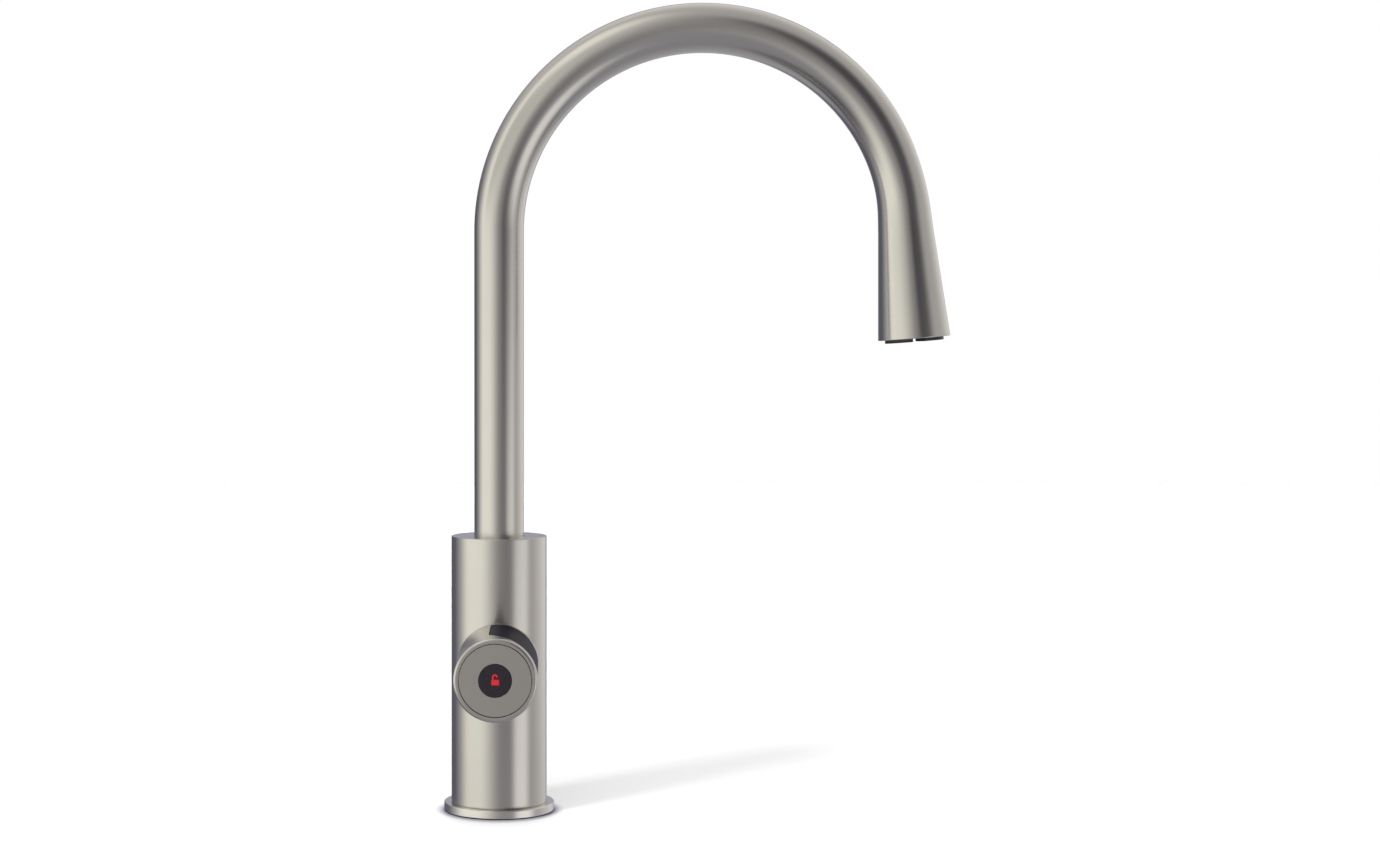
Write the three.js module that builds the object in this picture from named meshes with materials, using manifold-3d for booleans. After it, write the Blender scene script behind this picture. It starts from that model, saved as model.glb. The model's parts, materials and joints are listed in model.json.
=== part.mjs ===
// Boiling water tap with a swan-neck spout and a touch control barrel, in millimetres.
// +Z is up, the spout points along +X, the control barrel along -Y, and Z = 0 is the worktop.
import * as THREE from 'three';
import { mergeVertices } from 'three/addons/utils/BufferGeometryUtils.js';
import Module from 'manifold-3d';

const wasm = await Module();
wasm.setup();

// ---- Clearances ----
const seatGap = 0.3; // between two pieces that seat on each other
const runningGap = 0.25; // between a turning or sliding piece and what guides it
const facetSlack = 0.1; // what a round piece's corners need inside a faceted bore
const cutOver = 1; // how far a cutting solid runs past the face that it opens

// ---- Facets ----
const fineSides = 32;
const roundSides = 24;
const smallSides = 10;
const hexSides = 6; // of the nuts and the screen's holes
const bandSteps = 12; // round a bent band
const rimSteps = 4; // round the barrel's front edge

// ---- Spout tube ----
const tubeRadius = 13;
const tubeWall = 1.5;
const archRadius = 106.1; // to the centreline
const archFoot = 303.5; // height where the tube starts to bend
const tailTilt = THREE.MathUtils.degToRad(4.66); // how far the tail leans away from the column
const tailLength = 64.8;
const flareLength = 94.5; // measured back from the outlet, so it starts on the arch
const flareBlend = 0.45; // share of the flare that eases in before its straight cone
const outletRadius = 18.75;
const outletLip = 3.25; // width of the turned-in rim
const outletLipDepth = 3;
const tubeSides = 28;
const pipeSides = 6;
const leadSides = 8;
const archSteps = 16;
const flareSteps = 9;
const pipeBendSteps = 16;
const leadBendSteps = 5;

// ---- Column ----
const bodyRadius = 25;
const bodyWall = 2.2;
const bodyTop = 144;
const bodyLidThickness = 4; // thickness of the body's top
const bodyChamfer = 0.4;

// ---- Base ----
const baseOverhang = 3.85; // how far the flange stands out past the column
const baseTop = 4.5;
const baseChamfer = 0.5;
const baseLift = 0.4; // the flange stands this far off the worktop on its gasket
const locatingRingHeight = 2.5; // height of the ring that centres the body
const gasketMargin = 2.15; // from the flange's rim to the gasket's groove
const gasketWidth = 7.4; // of that groove
const gasketThickness = 1.6;

// ---- Fixing under the worktop ----
const worktopThickness = 30;
const shankRadius = 16;
const shankWall = 1.8;
const shankReach = 62; // below the worktop's top
const shankThread = 14.5; // depth that the shank screws into the core
const clampRadius = 26;
const clampGasketThickness = 2;
const clampWasherThickness = 2;
const clampNutHeight = 8;
const clampNutRadius = 24;
const glandDepth = 9; // how far the gland reaches up the shank
const glandHeadThickness = 2;

// ---- Water ways and the control lead ----
const pipeRadius = 3.1;
const pipeBore = 2.3;
const feedOffset = 7.4; // from the column's axis to each pipe in the shank
const boilingAngle = THREE.MathUtils.degToRad(150);
const coldAngle = THREE.MathUtils.degToRad(30);
const leadAngle = THREE.MathUtils.degToRad(-90);
const socketDepth = 8; // how far a feed pipe plugs into the core
const inletStandUp = 2; // how far an inlet stands above the gland
const nippleReach = 12; // how far an inlet stands below the gland
const nippleCollar = 5;
const nippleCollarThickness = 1.5;
const nippleBarb = 0.7; // how far each barb stands out
const cableMouthDepth = 6; // depth of the cable's socket below the gland
const leadRadius = 2;
const leadBend = 10;
const leadMargin = 1; // round the lead in the core's slot
const spoutPipeOffset = 4.3; // from the spout's centreline to each inner pipe

// ---- Swivel ----
const spindleRadius = 11;
const spindleLength = 29.5;
const collarRadius = 17;
const collarHeight = 4;
const plugLength = 12; // how far the spigot reaches up into the tube
const glideThickness = 1.6;
const sealSection = 0.75; // radius of each round seal's section
const sealSides = 5;
const sealGroove = 1.6;
const sealGrooveWidth = 2.4;
const upperSealDepth = 7; // below the collar
const lowerSealDepth = 17;
const chamberRadius = 9;
const chamberDepth = 6;
const coldRingDepth = 12; // below the collar, between the two seals
const coldRingWidth = 4;
const coldRingGroove = 1.2;
const coldRiserOffset = 16.5;
const swivelLimit = THREE.MathUtils.degToRad(60);
const stopPinRadius = 1.5;
const stopPinReach = 2.2; // into the collar's notch
const stopNotchDepth = 2.8;

// ---- Control barrel, measured along its own axis from the column's axis ----
const barrelRadius = 20.8;
const barrelWall = 2.55;
const barrelHeight = 79.65; // of its axis above the worktop
const barrelReach = 82.9;
const barrelRimRound = 1.4;
const bulkheadOffset = 7; // its front, from the column's skin
const stubRadius = 9;
const stubBore = 5;
const stubInset = 8; // how far the stub screws into the core
const stubNutLength = 4.5;
const stubProud = 1; // how far the stub stands out of its nut
const stubNutRadius = 13;

// ---- Touch panel ----
const panelMiddle = THREE.MathUtils.degToRad(50); // turned towards the person at the sink
const panelHalfAngle = THREE.MathUtils.degToRad(50);
const panelBackMargin = 2.5; // from the column's skin to its straight end
const panelFrontMargin = 4.9; // from the barrel's front to the tip of its rounded end
const panelBowMargin = 1.9; // what the rounded end's radius has over half its width
const panelCorner = 1.5;
const panelGap = 0.25;
const panelRecess = 0.2;
const panelSteps = 14;
const carrierMargin = 1.2; // between the carrier and the switch board
const touchBoardMargin = 2.5; // between its edges and the carrier's
const touchBoardThickness = 1.2;

// ---- Push button, measured back from the barrel's front ----
const buttonSinkDepth = 0.2;
const buttonPlateThickness = 1.6;
const buttonSkirtThickness = 1.2;
const buttonSkirtDepth = 8.8;
const buttonTravel = 1;
const lensRadius = 8.2;
const lensRimWidth = 1.8;
const lensRimThickness = 1.2;
const stemHeadThickness = 1.4;
const stemRadius = 6.5;
const stemWall = 1.6;
const stemLength = 8;
const guideSleeveWall = 1.5;
const guideSleeveDepth = 6.7;
const guidePlateDepth = 11.5;
const guidePlateThickness = 2;
const guidePostRadius = 2.2;
const guidePostOffset = 13;
const guidePostLength = 4.2;
const guidePosts = 3;
const boardThickness = 1.6;
const boardMargin = 1.45; // between the switch board and the barrel's bore
const switchWidth = 7;
const switchHeight = 2.2;
const switchCap = 2;
const springRadius = 10.6;
const springWire = 0.6; // radius of its wire
const springTurns = 3;
const springStepsPerTurn = 12;
const springSides = 5;

// ---- Outlet, measured up from the end of the spout ----
const insertReach = 1.75;
const insertLength = 9;
const insertWall = 1.8;
const insertPlateThickness = 2.2;
const insertSlotWidth = 0.9; // at the middle
const insertSlotFlare = 0.2; // how much each of its sides opens per mm towards the rim
const nozzleRadius = 3.4;
const sprayHoles = 6;
const sprayHoleRadius = 1.7;
const sprayMargin = 0.8; // between a spray hole and the insert's wall
const outletSealHeight = 5.6;
const manifoldLength = 12;
const manifoldMargin = 1.18; // between the manifold's top and the flare's bore
const manifoldSocket = 7;
const screenThickness = 0.8;
const screenHoles = 8;
const screenHoleOffset = 7;
const screenHoleRadius = 1.7;

// ---- Finishes ----
const brushedNickel = finish(0xa7a39b, 0.34, 1);
const faceNickel = finish(0x8b8982, 0.42, 1);
const brass = finish(0xb9965a, 0.4, 1);
const steel = finish(0x9c9ea1, 0.35, 1);
const copper = finish(0xb87a55, 0.38, 1);
const blackGlass = finish(0x17171b, 0.08, 0);
const lensBlack = finish(0x25242b, 0.2, 0);
const blackPlastic = finish(0x1d1d20, 0.5, 0);
const whitePlastic = finish(0xd8d8d4, 0.5, 0);
const clearPlastic = finish(0xdfe6ea, 0.1, 0);
const rubber = finish(0x1b1b1b, 0.85, 0);
const boardGreen = finish(0x1f4d33, 0.6, 0);

function finish(color, roughness, metalness) {
  return new THREE.MeshStandardMaterial({ color, roughness, metalness });
}

// ---- Solids ----

// A closed geometry as a solid that can be cut and joined.
function solid(geometry) {
  const bare = geometry.clone();
  bare.deleteAttribute('normal');
  bare.deleteAttribute('uv');
  const merged = mergeVertices(bare, 1e-4);
  const points = merged.attributes.position;
  const triangles = [];
  let volume = 0;
  const [a, b, c] = [new THREE.Vector3(), new THREE.Vector3(), new THREE.Vector3()];
  for (let i = 0; i < merged.index.count; i += 3) {
    const corners = [0, 1, 2].map((k) => merged.index.getX(i + k));
    if (new Set(corners).size < 3) continue;
    triangles.push(corners);
    a.fromBufferAttribute(points, corners[0]);
    b.fromBufferAttribute(points, corners[1]);
    c.fromBufferAttribute(points, corners[2]);
    volume += a.dot(b.cross(c));
  }
  const facingOut = volume > 0 ? triangles : triangles.map(([p, q, r]) => [p, r, q]);
  const vertProperties = new Float32Array(points.array);
  const triVerts = new Uint32Array(facingOut.flat());
  return new wasm.Manifold(new wasm.Mesh({ numProp: 3, vertProperties, triVerts }));
}

function geometryOf(body) {
  const { vertProperties, triVerts } = body.getMesh();
  const geometry = new THREE.BufferGeometry();
  geometry.setAttribute('position', new THREE.BufferAttribute(new Float32Array(vertProperties), 3));
  geometry.setIndex(Array.from(triVerts));
  geometry.computeVertexNormals();
  return geometry;
}

// Turns a closed outline of [radius, height] points about Z.
function revolve(outline, sides) {
  const profile = [...outline, outline[0]].map(([r, z]) => new THREE.Vector2(r, z));
  return solid(new THREE.LatheGeometry(profile, sides).rotateX(Math.PI / 2));
}

function ring(inner, outer, low, high, sides = roundSides) {
  return revolve([[inner, low], [outer, low], [outer, high], [inner, high]], sides);
}

function rod(radius, low, high, sides = roundSides) {
  return revolve([[0, low], [radius, low], [radius, high], [0, high]], sides);
}

// A rod between two points, for drilled ways that run aslant.
function drill(radius, from, to, sides = smallSides) {
  const way = to.clone().sub(from);
  const turn = new THREE.Quaternion().setFromUnitVectors(new THREE.Vector3(0, 1, 0), way.clone().normalize());
  const geometry = new THREE.CylinderGeometry(radius, radius, way.length(), sides);
  const middle = from.clone().add(to).multiplyScalar(0.5);
  return solid(geometry.applyQuaternion(turn).translate(middle.x, middle.y, middle.z));
}

function block(width, depth, height, centre) {
  return solid(new THREE.BoxGeometry(width, depth, height).translate(...centre));
}

// Joins a row of outlines with equally many points into one skin. An endless row needs no caps.
function skin(outlines, endless = false) {
  const count = outlines[0].length;
  const index = [];
  const joins = endless ? outlines.length : outlines.length - 1;
  for (let row = 0; row < joins; row++) {
    const here = row * count;
    const next = ((row + 1) % outlines.length) * count;
    for (let k = 0; k < count; k++) {
      const side = (k + 1) % count;
      index.push(here + k, here + side, next + k, here + side, next + side, next + k);
    }
  }
  if (!endless) {
    const last = (outlines.length - 1) * count;
    for (let k = 1; k < count - 1; k++) {
      index.push(0, k + 1, k, last, last + k, last + k + 1);
    }
  }
  const geometry = new THREE.BufferGeometry();
  const positions = outlines.flat().flatMap((p) => [p.x, p.y, p.z]);
  geometry.setAttribute('position', new THREE.Float32BufferAttribute(positions, 3));
  geometry.setIndex(index);
  return solid(geometry);
}

// A bar bent round Z: at each angle it fills a radius band between the heights that spanAt gives.
function arcBar(inner, outer, angles, spanAt) {
  return skin(angles.map((angle) => {
    const [low, high] = spanAt(angle);
    const at = (r, z) => new THREE.Vector3(r * Math.cos(angle), r * Math.sin(angle), z);
    return [at(inner, low), at(outer, low), at(outer, high), at(inner, high)];
  }));
}

function evenly(from, to, steps) {
  return Array.from({ length: steps + 1 }, (_, i) => from + ((to - from) * i) / steps);
}

// Equally spaced angles round a full turn.
function around(count, first = 0) {
  return evenly(first, first + 2 * Math.PI, count).slice(0, count);
}

function polar(radius, angle, z = 0) {
  return new THREE.Vector3(radius * Math.cos(angle), radius * Math.sin(angle), z);
}

// A route rises straight from its start, bends towards its heading and runs on straight.
// This gives the point a distance s along it, and how far the route has turned there.
function routeAt(route, s) {
  const bendLength = route.bend * route.angle;
  const bent = THREE.MathUtils.clamp(s - route.riser, 0, bendLength);
  const turn = bent / route.bend;
  const rise = Math.min(s, route.riser);
  const tail = s - rise - bent;
  const out = route.bend * (1 - Math.cos(turn)) + tail * Math.sin(turn);
  const up = rise + route.bend * Math.sin(turn) + tail * Math.cos(turn);
  const point = route.start.clone().addScaledVector(route.heading, out);
  return { point: point.setZ(point.z + up), turn };
}

// A circle of points round a route, square to it, set sideways by an offset.
function routeRing(route, s, radius, sides, offset = 0) {
  const { point, turn } = routeAt(route, s);
  const up = new THREE.Vector3(0, 0, 1);
  const across = route.heading.clone().multiplyScalar(-Math.cos(turn)).addScaledVector(up, Math.sin(turn));
  const sideways = up.clone().cross(route.heading);
  return around(sides).map((t) => point.clone()
    .addScaledVector(across, radius * Math.cos(t))
    .addScaledVector(sideways, offset + radius * Math.sin(t)));
}

function piece(parent, name, body, material) {
  const mesh = new THREE.Mesh(geometryOf(body), material);
  mesh.name = name;
  parent.add(mesh);
  return mesh;
}

// ---- Places that several pieces share ----
const baseRadius = bodyRadius + baseOverhang;
const shellInner = bodyRadius - bodyWall;
const coreRadius = shellInner - seatGap;
const lidUnder = bodyTop - bodyLidThickness;
const coreTop = lidUnder - seatGap;
const coreFoot = baseTop + locatingRingHeight + seatGap;
const shankTop = coreFoot + shankThread;
const collarTop = coreTop - glideThickness - seatGap;
const collarFoot = collarTop - collarHeight;
const glideSeat = collarFoot - seatGap - glideThickness - seatGap; // the ledge in the core
const spindleFoot = collarFoot - spindleLength;
const tubeFoot = collarTop + seatGap;
const coldRingHeight = collarFoot - coldRingDepth;
const spindleBore = spindleRadius + runningGap;
const collarBore = collarRadius + runningGap + facetSlack;
const tubeInner = tubeRadius - tubeWall;
const shankBore = shankRadius - shankWall;
const barrelBore = barrelRadius - barrelWall;
const bulkheadFront = bodyRadius + bulkheadOffset;
const boardFront = -guidePlateDepth - guidePlateThickness - guidePostLength - seatGap; // from the front
const boardBack = barrelReach + boardFront - boardThickness;

// ---- Base and fixing ----
const gasketOuter = baseRadius - gasketMargin;
const gasketInner = gasketOuter - gasketWidth;

function baseFlange() {
  const bore = shankRadius + seatGap;
  const ringTop = baseTop + locatingRingHeight;
  const grooveTop = gasketThickness + seatGap;
  return revolve([
    [bore, baseLift],
    [gasketInner, baseLift],
    [gasketInner, grooveTop],
    [gasketOuter, grooveTop],
    [gasketOuter, baseLift],
    [baseRadius, baseLift],
    [baseRadius, baseTop - baseChamfer],
    [baseRadius - baseChamfer, baseTop],
    [coreRadius, baseTop],
    [coreRadius, ringTop],
    [bore, ringTop],
  ], fineSides);
}

function baseGasket() {
  return ring(gasketInner + seatGap, gasketOuter - seatGap, 0, gasketThickness);
}

function fixingShank() {
  return ring(shankBore, shankRadius, -shankReach, shankTop - seatGap);
}

function clampNut(low) {
  const bore = rod(shankRadius + seatGap, low - cutOver, low + clampNutHeight + cutOver);
  return rod(clampNutRadius, low, low + clampNutHeight, hexSides).subtract(bore);
}

const glandFoot = -shankReach - seatGap - glandHeadThickness;
const glandTop = -shankReach + glandDepth;
const inletTop = glandTop + inletStandUp;
const collarUnder = glandFoot - seatGap; // where the inlets' collars seat

// The plug in the shank's lower end, with a way for each inlet and for the lead.
function shankGland() {
  const plug = revolve([
    [0, glandFoot],
    [shankRadius, glandFoot],
    [shankRadius, glandFoot + glandHeadThickness],
    [shankBore - seatGap, glandFoot + glandHeadThickness],
    [shankBore - seatGap, glandTop],
    [0, glandTop],
  ], roundSides);
  const way = rod(pipeRadius + seatGap, glandFoot - cutOver, glandTop + cutOver, smallSides);
  return [boilingAngle, coldAngle, leadAngle].reduce((left, angle) => {
    const place = polar(feedOffset, angle);
    return left.subtract(way.translate([place.x, place.y, 0]));
  }, plug);
}

// A hose nipple: a pipe with a collar that seats under the gland, and two barbs for the hose.
function hoseNipple() {
  const foot = glandFoot - nippleReach;
  const collarLow = collarUnder - nippleCollarThickness;
  const barbRadius = pipeRadius + nippleBarb;
  const barbPitch = (collarLow - foot) / 2;
  const barb = (low) => [
    [pipeRadius, low],
    [barbRadius, low + barbPitch - nippleBarb],
    [pipeRadius, low + barbPitch - nippleBarb],
  ];
  return revolve([
    [pipeBore, foot],
    ...barb(foot),
    ...barb(foot + barbPitch),
    [pipeRadius, collarLow],
    [nippleCollar, collarLow],
    [nippleCollar, collarUnder],
    [pipeRadius, collarUnder],
    [pipeRadius, inletTop],
    [pipeBore, inletTop],
  ], smallSides);
}

// The socket that the control cable plugs into from below.
function cableSocket() {
  return revolve([
    [0, collarUnder],
    [pipeRadius, collarUnder],
    [pipeRadius, glandFoot - cableMouthDepth],
    [nippleCollar, glandFoot - cableMouthDepth],
    [nippleCollar, collarUnder],
    [pipeRadius, collarUnder + seatGap],
    [pipeRadius, inletTop],
    [0, inletTop],
  ], smallSides);
}

function feedPipe() {
  return ring(pipeBore, pipeRadius, inletTop + seatGap, shankTop + socketDepth - seatGap, smallSides);
}

// Up the shank and the core's slot, then out through the stub to the switch board.
function controlLead() {
  const start = polar(feedOffset, leadAngle, inletTop + seatGap);
  const riser = barrelHeight - leadBend - start.z;
  const route = { start, heading: polar(1, leadAngle), riser, bend: leadBend, angle: Math.PI / 2 };
  const bendEnd = riser + leadBend * route.angle;
  const end = bendEnd + boardBack - seatGap - feedOffset - leadBend;
  const stations = [0, ...evenly(riser, bendEnd, leadBendSteps), end];
  return skin(stations.map((s) => routeRing(route, s, leadRadius, leadSides)));
}

// ---- Column ----

function bodyShell() {
  const foot = baseTop + seatGap;
  const shell = revolve([
    [shellInner, foot],
    [bodyRadius, foot],
    [bodyRadius, bodyTop - bodyChamfer],
    [bodyRadius - bodyChamfer, bodyTop],
    [tubeRadius + seatGap, bodyTop],
    [tubeRadius + seatGap, lidUnder],
    [shellInner, lidUnder],
  ], fineSides);
  const port = drill(
    stubRadius + seatGap,
    new THREE.Vector3(0, 0, barrelHeight),
    new THREE.Vector3(0, -bodyRadius - cutOver, barrelHeight),
    roundSides,
  );
  return shell.subtract(port);
}

// The brass core: it carries the shank below, the barrel's stub in its side and the spigot on top.
// Boiling water reaches the chamber under the spindle, cold water the ring between the seals.
function bodyCore() {
  const chamberFloor = spindleFoot - chamberDepth;
  const core = revolve([
    [0, shankTop],
    [shankRadius + seatGap, shankTop],
    [shankRadius + seatGap, coreFoot],
    [coreRadius, coreFoot],
    [coreRadius, coreTop],
    [collarBore, coreTop],
    [collarBore, glideSeat],
    [spindleBore, glideSeat],
    [spindleBore, coldRingHeight + coldRingWidth / 2],
    [spindleBore + coldRingGroove, coldRingHeight + coldRingWidth / 2],
    [spindleBore + coldRingGroove, coldRingHeight - coldRingWidth / 2],
    [spindleBore, coldRingHeight - coldRingWidth / 2],
    [spindleBore, spindleFoot - seatGap],
    [chamberRadius, spindleFoot - seatGap],
    [chamberRadius, chamberFloor],
    [0, chamberFloor],
  ], roundSides);
  const socketTop = shankTop + socketDepth;
  const sockets = [boilingAngle, coldAngle].map((angle) => drill(
    pipeRadius + seatGap,
    polar(feedOffset, angle, shankTop - cutOver),
    polar(feedOffset, angle, socketTop),
  ));
  const boilingWay = drill(
    pipeBore,
    polar(feedOffset, boilingAngle, socketTop - cutOver),
    polar(feedOffset, boilingAngle, chamberFloor + cutOver),
  );
  const coldRiser = drill(
    pipeBore,
    polar(feedOffset, coldAngle, socketTop - cutOver),
    polar(coldRiserOffset, coldAngle, coldRingHeight),
  );
  const coldPort = drill(
    coldRingWidth / 2,
    polar(spindleRadius, coldAngle, coldRingHeight),
    polar(coldRiserOffset + pipeBore / 2, coldAngle, coldRingHeight),
  );
  const stubPort = drill(
    stubRadius + seatGap,
    new THREE.Vector3(0, -(coreRadius - stubInset), barrelHeight),
    new THREE.Vector3(0, -coreRadius - cutOver, barrelHeight),
    roundSides,
  );
  const pinHole = drill(
    stopPinRadius + seatGap,
    new THREE.Vector3(-spindleRadius, 0, (collarTop + collarFoot) / 2),
    new THREE.Vector3(-coreRadius - cutOver, 0, (collarTop + collarFoot) / 2),
  );
  return [...sockets, boilingWay, coldRiser, coldPort, leadSlot(), stubPort, pinHole]
    .reduce((left, cut) => left.subtract(cut), core);
}

// The milled slot that the lead runs up in, open towards the barrel.
function leadSlot() {
  const halfWidth = leadRadius + leadMargin;
  const inner = feedOffset - halfWidth;
  const outer = coreRadius + cutOver;
  const low = shankTop - cutOver;
  const high = barrelHeight + halfWidth;
  return block(2 * halfWidth, outer - inner, high - low, [0, -(inner + outer) / 2, (low + high) / 2]);
}

function glideRing(inner, low) {
  return ring(inner, collarRadius, low, low + glideThickness);
}

function stopPin() {
  const middle = (collarTop + collarFoot) / 2;
  return drill(
    stopPinRadius,
    new THREE.Vector3(-(collarRadius - stopPinReach), 0, middle),
    new THREE.Vector3(-coreRadius + seatGap, 0, middle),
  );
}

// ---- Spout ----
const riserLength = archFoot - tubeFoot;
const archAngle = Math.PI - tailTilt;
const archLength = archRadius * archAngle;
const spoutLength = riserLength + archLength + tailLength;
const lipHeight = spoutLength - outletLipDepth;
const flareStart = spoutLength - flareLength;
const spoutRoute = {
  start: new THREE.Vector3(0, 0, tubeFoot),
  heading: new THREE.Vector3(1, 0, 0),
  riser: riserLength,
  bend: archRadius,
  angle: archAngle,
};

// The flare eases in along the end of the arch and then opens as a straight cone.
function flaredRadius(s) {
  const u = THREE.MathUtils.clamp((s - flareStart) / flareLength, 0, 1);
  const eased = u < flareBlend ? (u * u) / (2 * flareBlend) : u - flareBlend / 2;
  return tubeRadius + ((outletRadius - tubeRadius) * eased) / (1 - flareBlend / 2);
}

// The swan neck is one skin lofted over rings of changing radius: up the outside, back down the bore.
function spoutTube() {
  const bends = evenly(riserLength, flareStart, archSteps);
  const flare = evenly(flareStart, spoutLength, flareSteps).slice(1);
  const circle = (s, radius) => routeRing(spoutRoute, s, radius, tubeSides);
  const outside = [0, ...bends, ...flare].map((s) => circle(s, flaredRadius(s)));
  const throat = [0, ...bends, ...flare].filter((s) => s < lipHeight);
  const bore = throat.map((s) => circle(s, flaredRadius(s) - tubeWall));
  const lip = [
    circle(lipHeight, flaredRadius(lipHeight) - tubeWall),
    circle(lipHeight, outletRadius - outletLip),
    circle(spoutLength, outletRadius - outletLip),
  ];
  return skin([...outside, ...[...bore, ...lip].reverse()], true);
}

// An inner pipe runs beside the centreline from the spigot to the outlet's manifold.
function spoutPipe(side) {
  const foot = plugLength - socketDepth;
  const top = spoutLength - insertLength - seatGap - manifoldLength + manifoldSocket - seatGap;
  const offset = side * spoutPipeOffset;
  const stations = [foot, ...evenly(riserLength, riserLength + archLength, pipeBendSteps), top];
  const wall = (radius) => stations.map((s) => routeRing(spoutRoute, s, radius, pipeSides, offset));
  return skin([...wall(pipeRadius), ...wall(pipeBore).reverse()], true);
}

// The brass spigot: a plug in the tube, the collar that the body's lid holds down, and the spindle.
function spoutSpigot() {
  const plugRadius = tubeInner - seatGap / 2;
  const floor = spindleRadius - sealGroove;
  const groove = (depth) => {
    const middle = collarFoot - depth;
    return [
      [spindleRadius, middle - sealGrooveWidth / 2],
      [floor, middle - sealGrooveWidth / 2],
      [floor, middle + sealGrooveWidth / 2],
      [spindleRadius, middle + sealGrooveWidth / 2],
    ];
  };
  const spigot = revolve([
    [0, spindleFoot],
    [spindleRadius, spindleFoot],
    ...groove(lowerSealDepth),
    ...groove(upperSealDepth),
    [spindleRadius, collarFoot],
    [collarRadius, collarFoot],
    [collarRadius, collarTop],
    [plugRadius, collarTop],
    [plugRadius, tubeFoot + plugLength],
    [0, tubeFoot + plugLength],
  ], roundSides);
  const waysTop = tubeFoot + plugLength + cutOver;
  const pipeSeat = tubeFoot + plugLength - socketDepth - seatGap;
  const at = (side, z) => new THREE.Vector3(0, side * spoutPipeOffset, z);
  const cuts = [
    drill(pipeRadius + seatGap, at(-1, pipeSeat), at(-1, waysTop)),
    drill(pipeRadius + seatGap, at(1, pipeSeat), at(1, waysTop)),
    drill(pipeBore, at(-1, spindleFoot - cutOver), at(-1, pipeSeat + cutOver)),
    drill(pipeBore, at(1, coldRingHeight), at(1, pipeSeat + cutOver)),
    drill(pipeBore, at(0, coldRingHeight), new THREE.Vector3(0, spindleRadius + cutOver, coldRingHeight)),
    stopNotch(),
  ];
  return cuts.reduce((left, cut) => left.subtract(cut), spigot);
}

// The notch in the collar ends against the stop pin at each limit of the swivel.
function stopNotch() {
  const floor = collarRadius - stopNotchDepth;
  const pinShare = Math.asin((stopPinRadius + runningGap) / (collarRadius - stopPinReach));
  const reach = swivelLimit + pinShare;
  const angles = evenly(Math.PI - reach, Math.PI + reach, bandSteps);
  return arcBar(floor, collarRadius + cutOver, angles, () => [collarFoot - cutOver, collarTop + cutOver]);
}

// A round seal that stands on the floor of a groove.
function roundSeal(grooveFloor, height) {
  const middle = grooveFloor + facetSlack + sealSection;
  const corner = (t) => [middle + sealSection * Math.cos(t), height + sealSection * Math.sin(t)];
  return revolve(around(sealSides).map(corner), roundSides);
}

// ---- Outlet, in a frame at the spout's end with +Z back up the tail ----
const insertRadius = outletRadius - outletLip - seatGap;
const insertInner = insertRadius - sealGroove - insertWall;

// The black insert: a threaded cup whose slotted rim stands out below the metal.
function outletInsert() {
  const floor = outletSealHeight - sealGrooveWidth / 2;
  const roof = outletSealHeight + sealGrooveWidth / 2;
  const cup = revolve([
    [0, -insertReach],
    [insertRadius, -insertReach],
    [insertRadius, floor],
    [insertRadius - sealGroove, floor],
    [insertRadius - sealGroove, roof],
    [insertRadius, roof],
    [insertRadius, insertLength],
    [insertInner, insertLength],
    [insertInner, insertPlateThickness],
    [0, insertPlateThickness],
  ], roundSides);
  const foot = -insertReach - cutOver;
  const through = (radius, x, y) => rod(radius, foot, insertPlateThickness + cutOver, smallSides)
    .translate([x, y, 0]);
  const sprays = around(sprayHoles).map((angle) => {
    const place = polar(insertInner - sprayMargin - sprayHoleRadius, angle);
    return through(sprayHoleRadius, place.x, place.y);
  });
  const slotEnd = insertRadius + cutOver;
  const slot = skin([-slotEnd, 0, slotEnd].map((y) => {
    const half = insertSlotWidth / 2 + Math.abs(y) * insertSlotFlare;
    const at = (x, z) => new THREE.Vector3(x, y, z);
    return [at(-half, foot), at(half, foot), at(half, 0), at(-half, 0)];
  }));
  return [through(nozzleRadius, 0, 0), ...sprays, slot].reduce((left, cut) => left.subtract(cut), cup);
}

// The manifold above the insert holds the ends of both inner pipes.
function outletManifold() {
  const low = insertLength + seatGap;
  const high = low + manifoldLength;
  const socketFloor = high - manifoldSocket;
  const radius = flaredRadius(spoutLength - high) - tubeWall - manifoldMargin;
  const socket = rod(pipeRadius + seatGap, socketFloor, high + cutOver, smallSides);
  const way = socket.add(rod(pipeBore, low - cutOver, socketFloor + cutOver, smallSides));
  return rod(radius, low, high, smallSides * 2)
    .subtract(way.translate([0, -spoutPipeOffset, 0]))
    .subtract(way.translate([0, spoutPipeOffset, 0]));
}

function flowScreen() {
  const low = insertLength - screenThickness - seatGap;
  const disc = rod(insertInner - seatGap, low, low + screenThickness);
  const hole = rod(screenHoleRadius, low - cutOver, low + screenThickness + cutOver, hexSides);
  return around(screenHoles).reduce((left, angle) => {
    const place = polar(screenHoleOffset, angle);
    return left.subtract(hole.translate([place.x, place.y, 0]));
  }, disc);
}

// ---- Control barrel, in a frame with +Z out along its axis and +Y up ----
const carrierBack = bulkheadFront + seatGap + stubNutLength + seatGap;
const carrierLength = boardBack - carrierMargin - carrierBack;
const carrierRadius = barrelBore - seatGap;
const carrierChord = carrierRadius * Math.cos(panelHalfAngle); // from the barrel's axis to its flat
const panelBack = bodyRadius + panelBackMargin;
const panelFront = barrelReach - panelFrontMargin;
const panelHalfWidth = barrelRadius * panelHalfAngle; // along the barrel's skin
const panelBow = panelHalfWidth + panelBowMargin; // radius of its rounded front end

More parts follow.
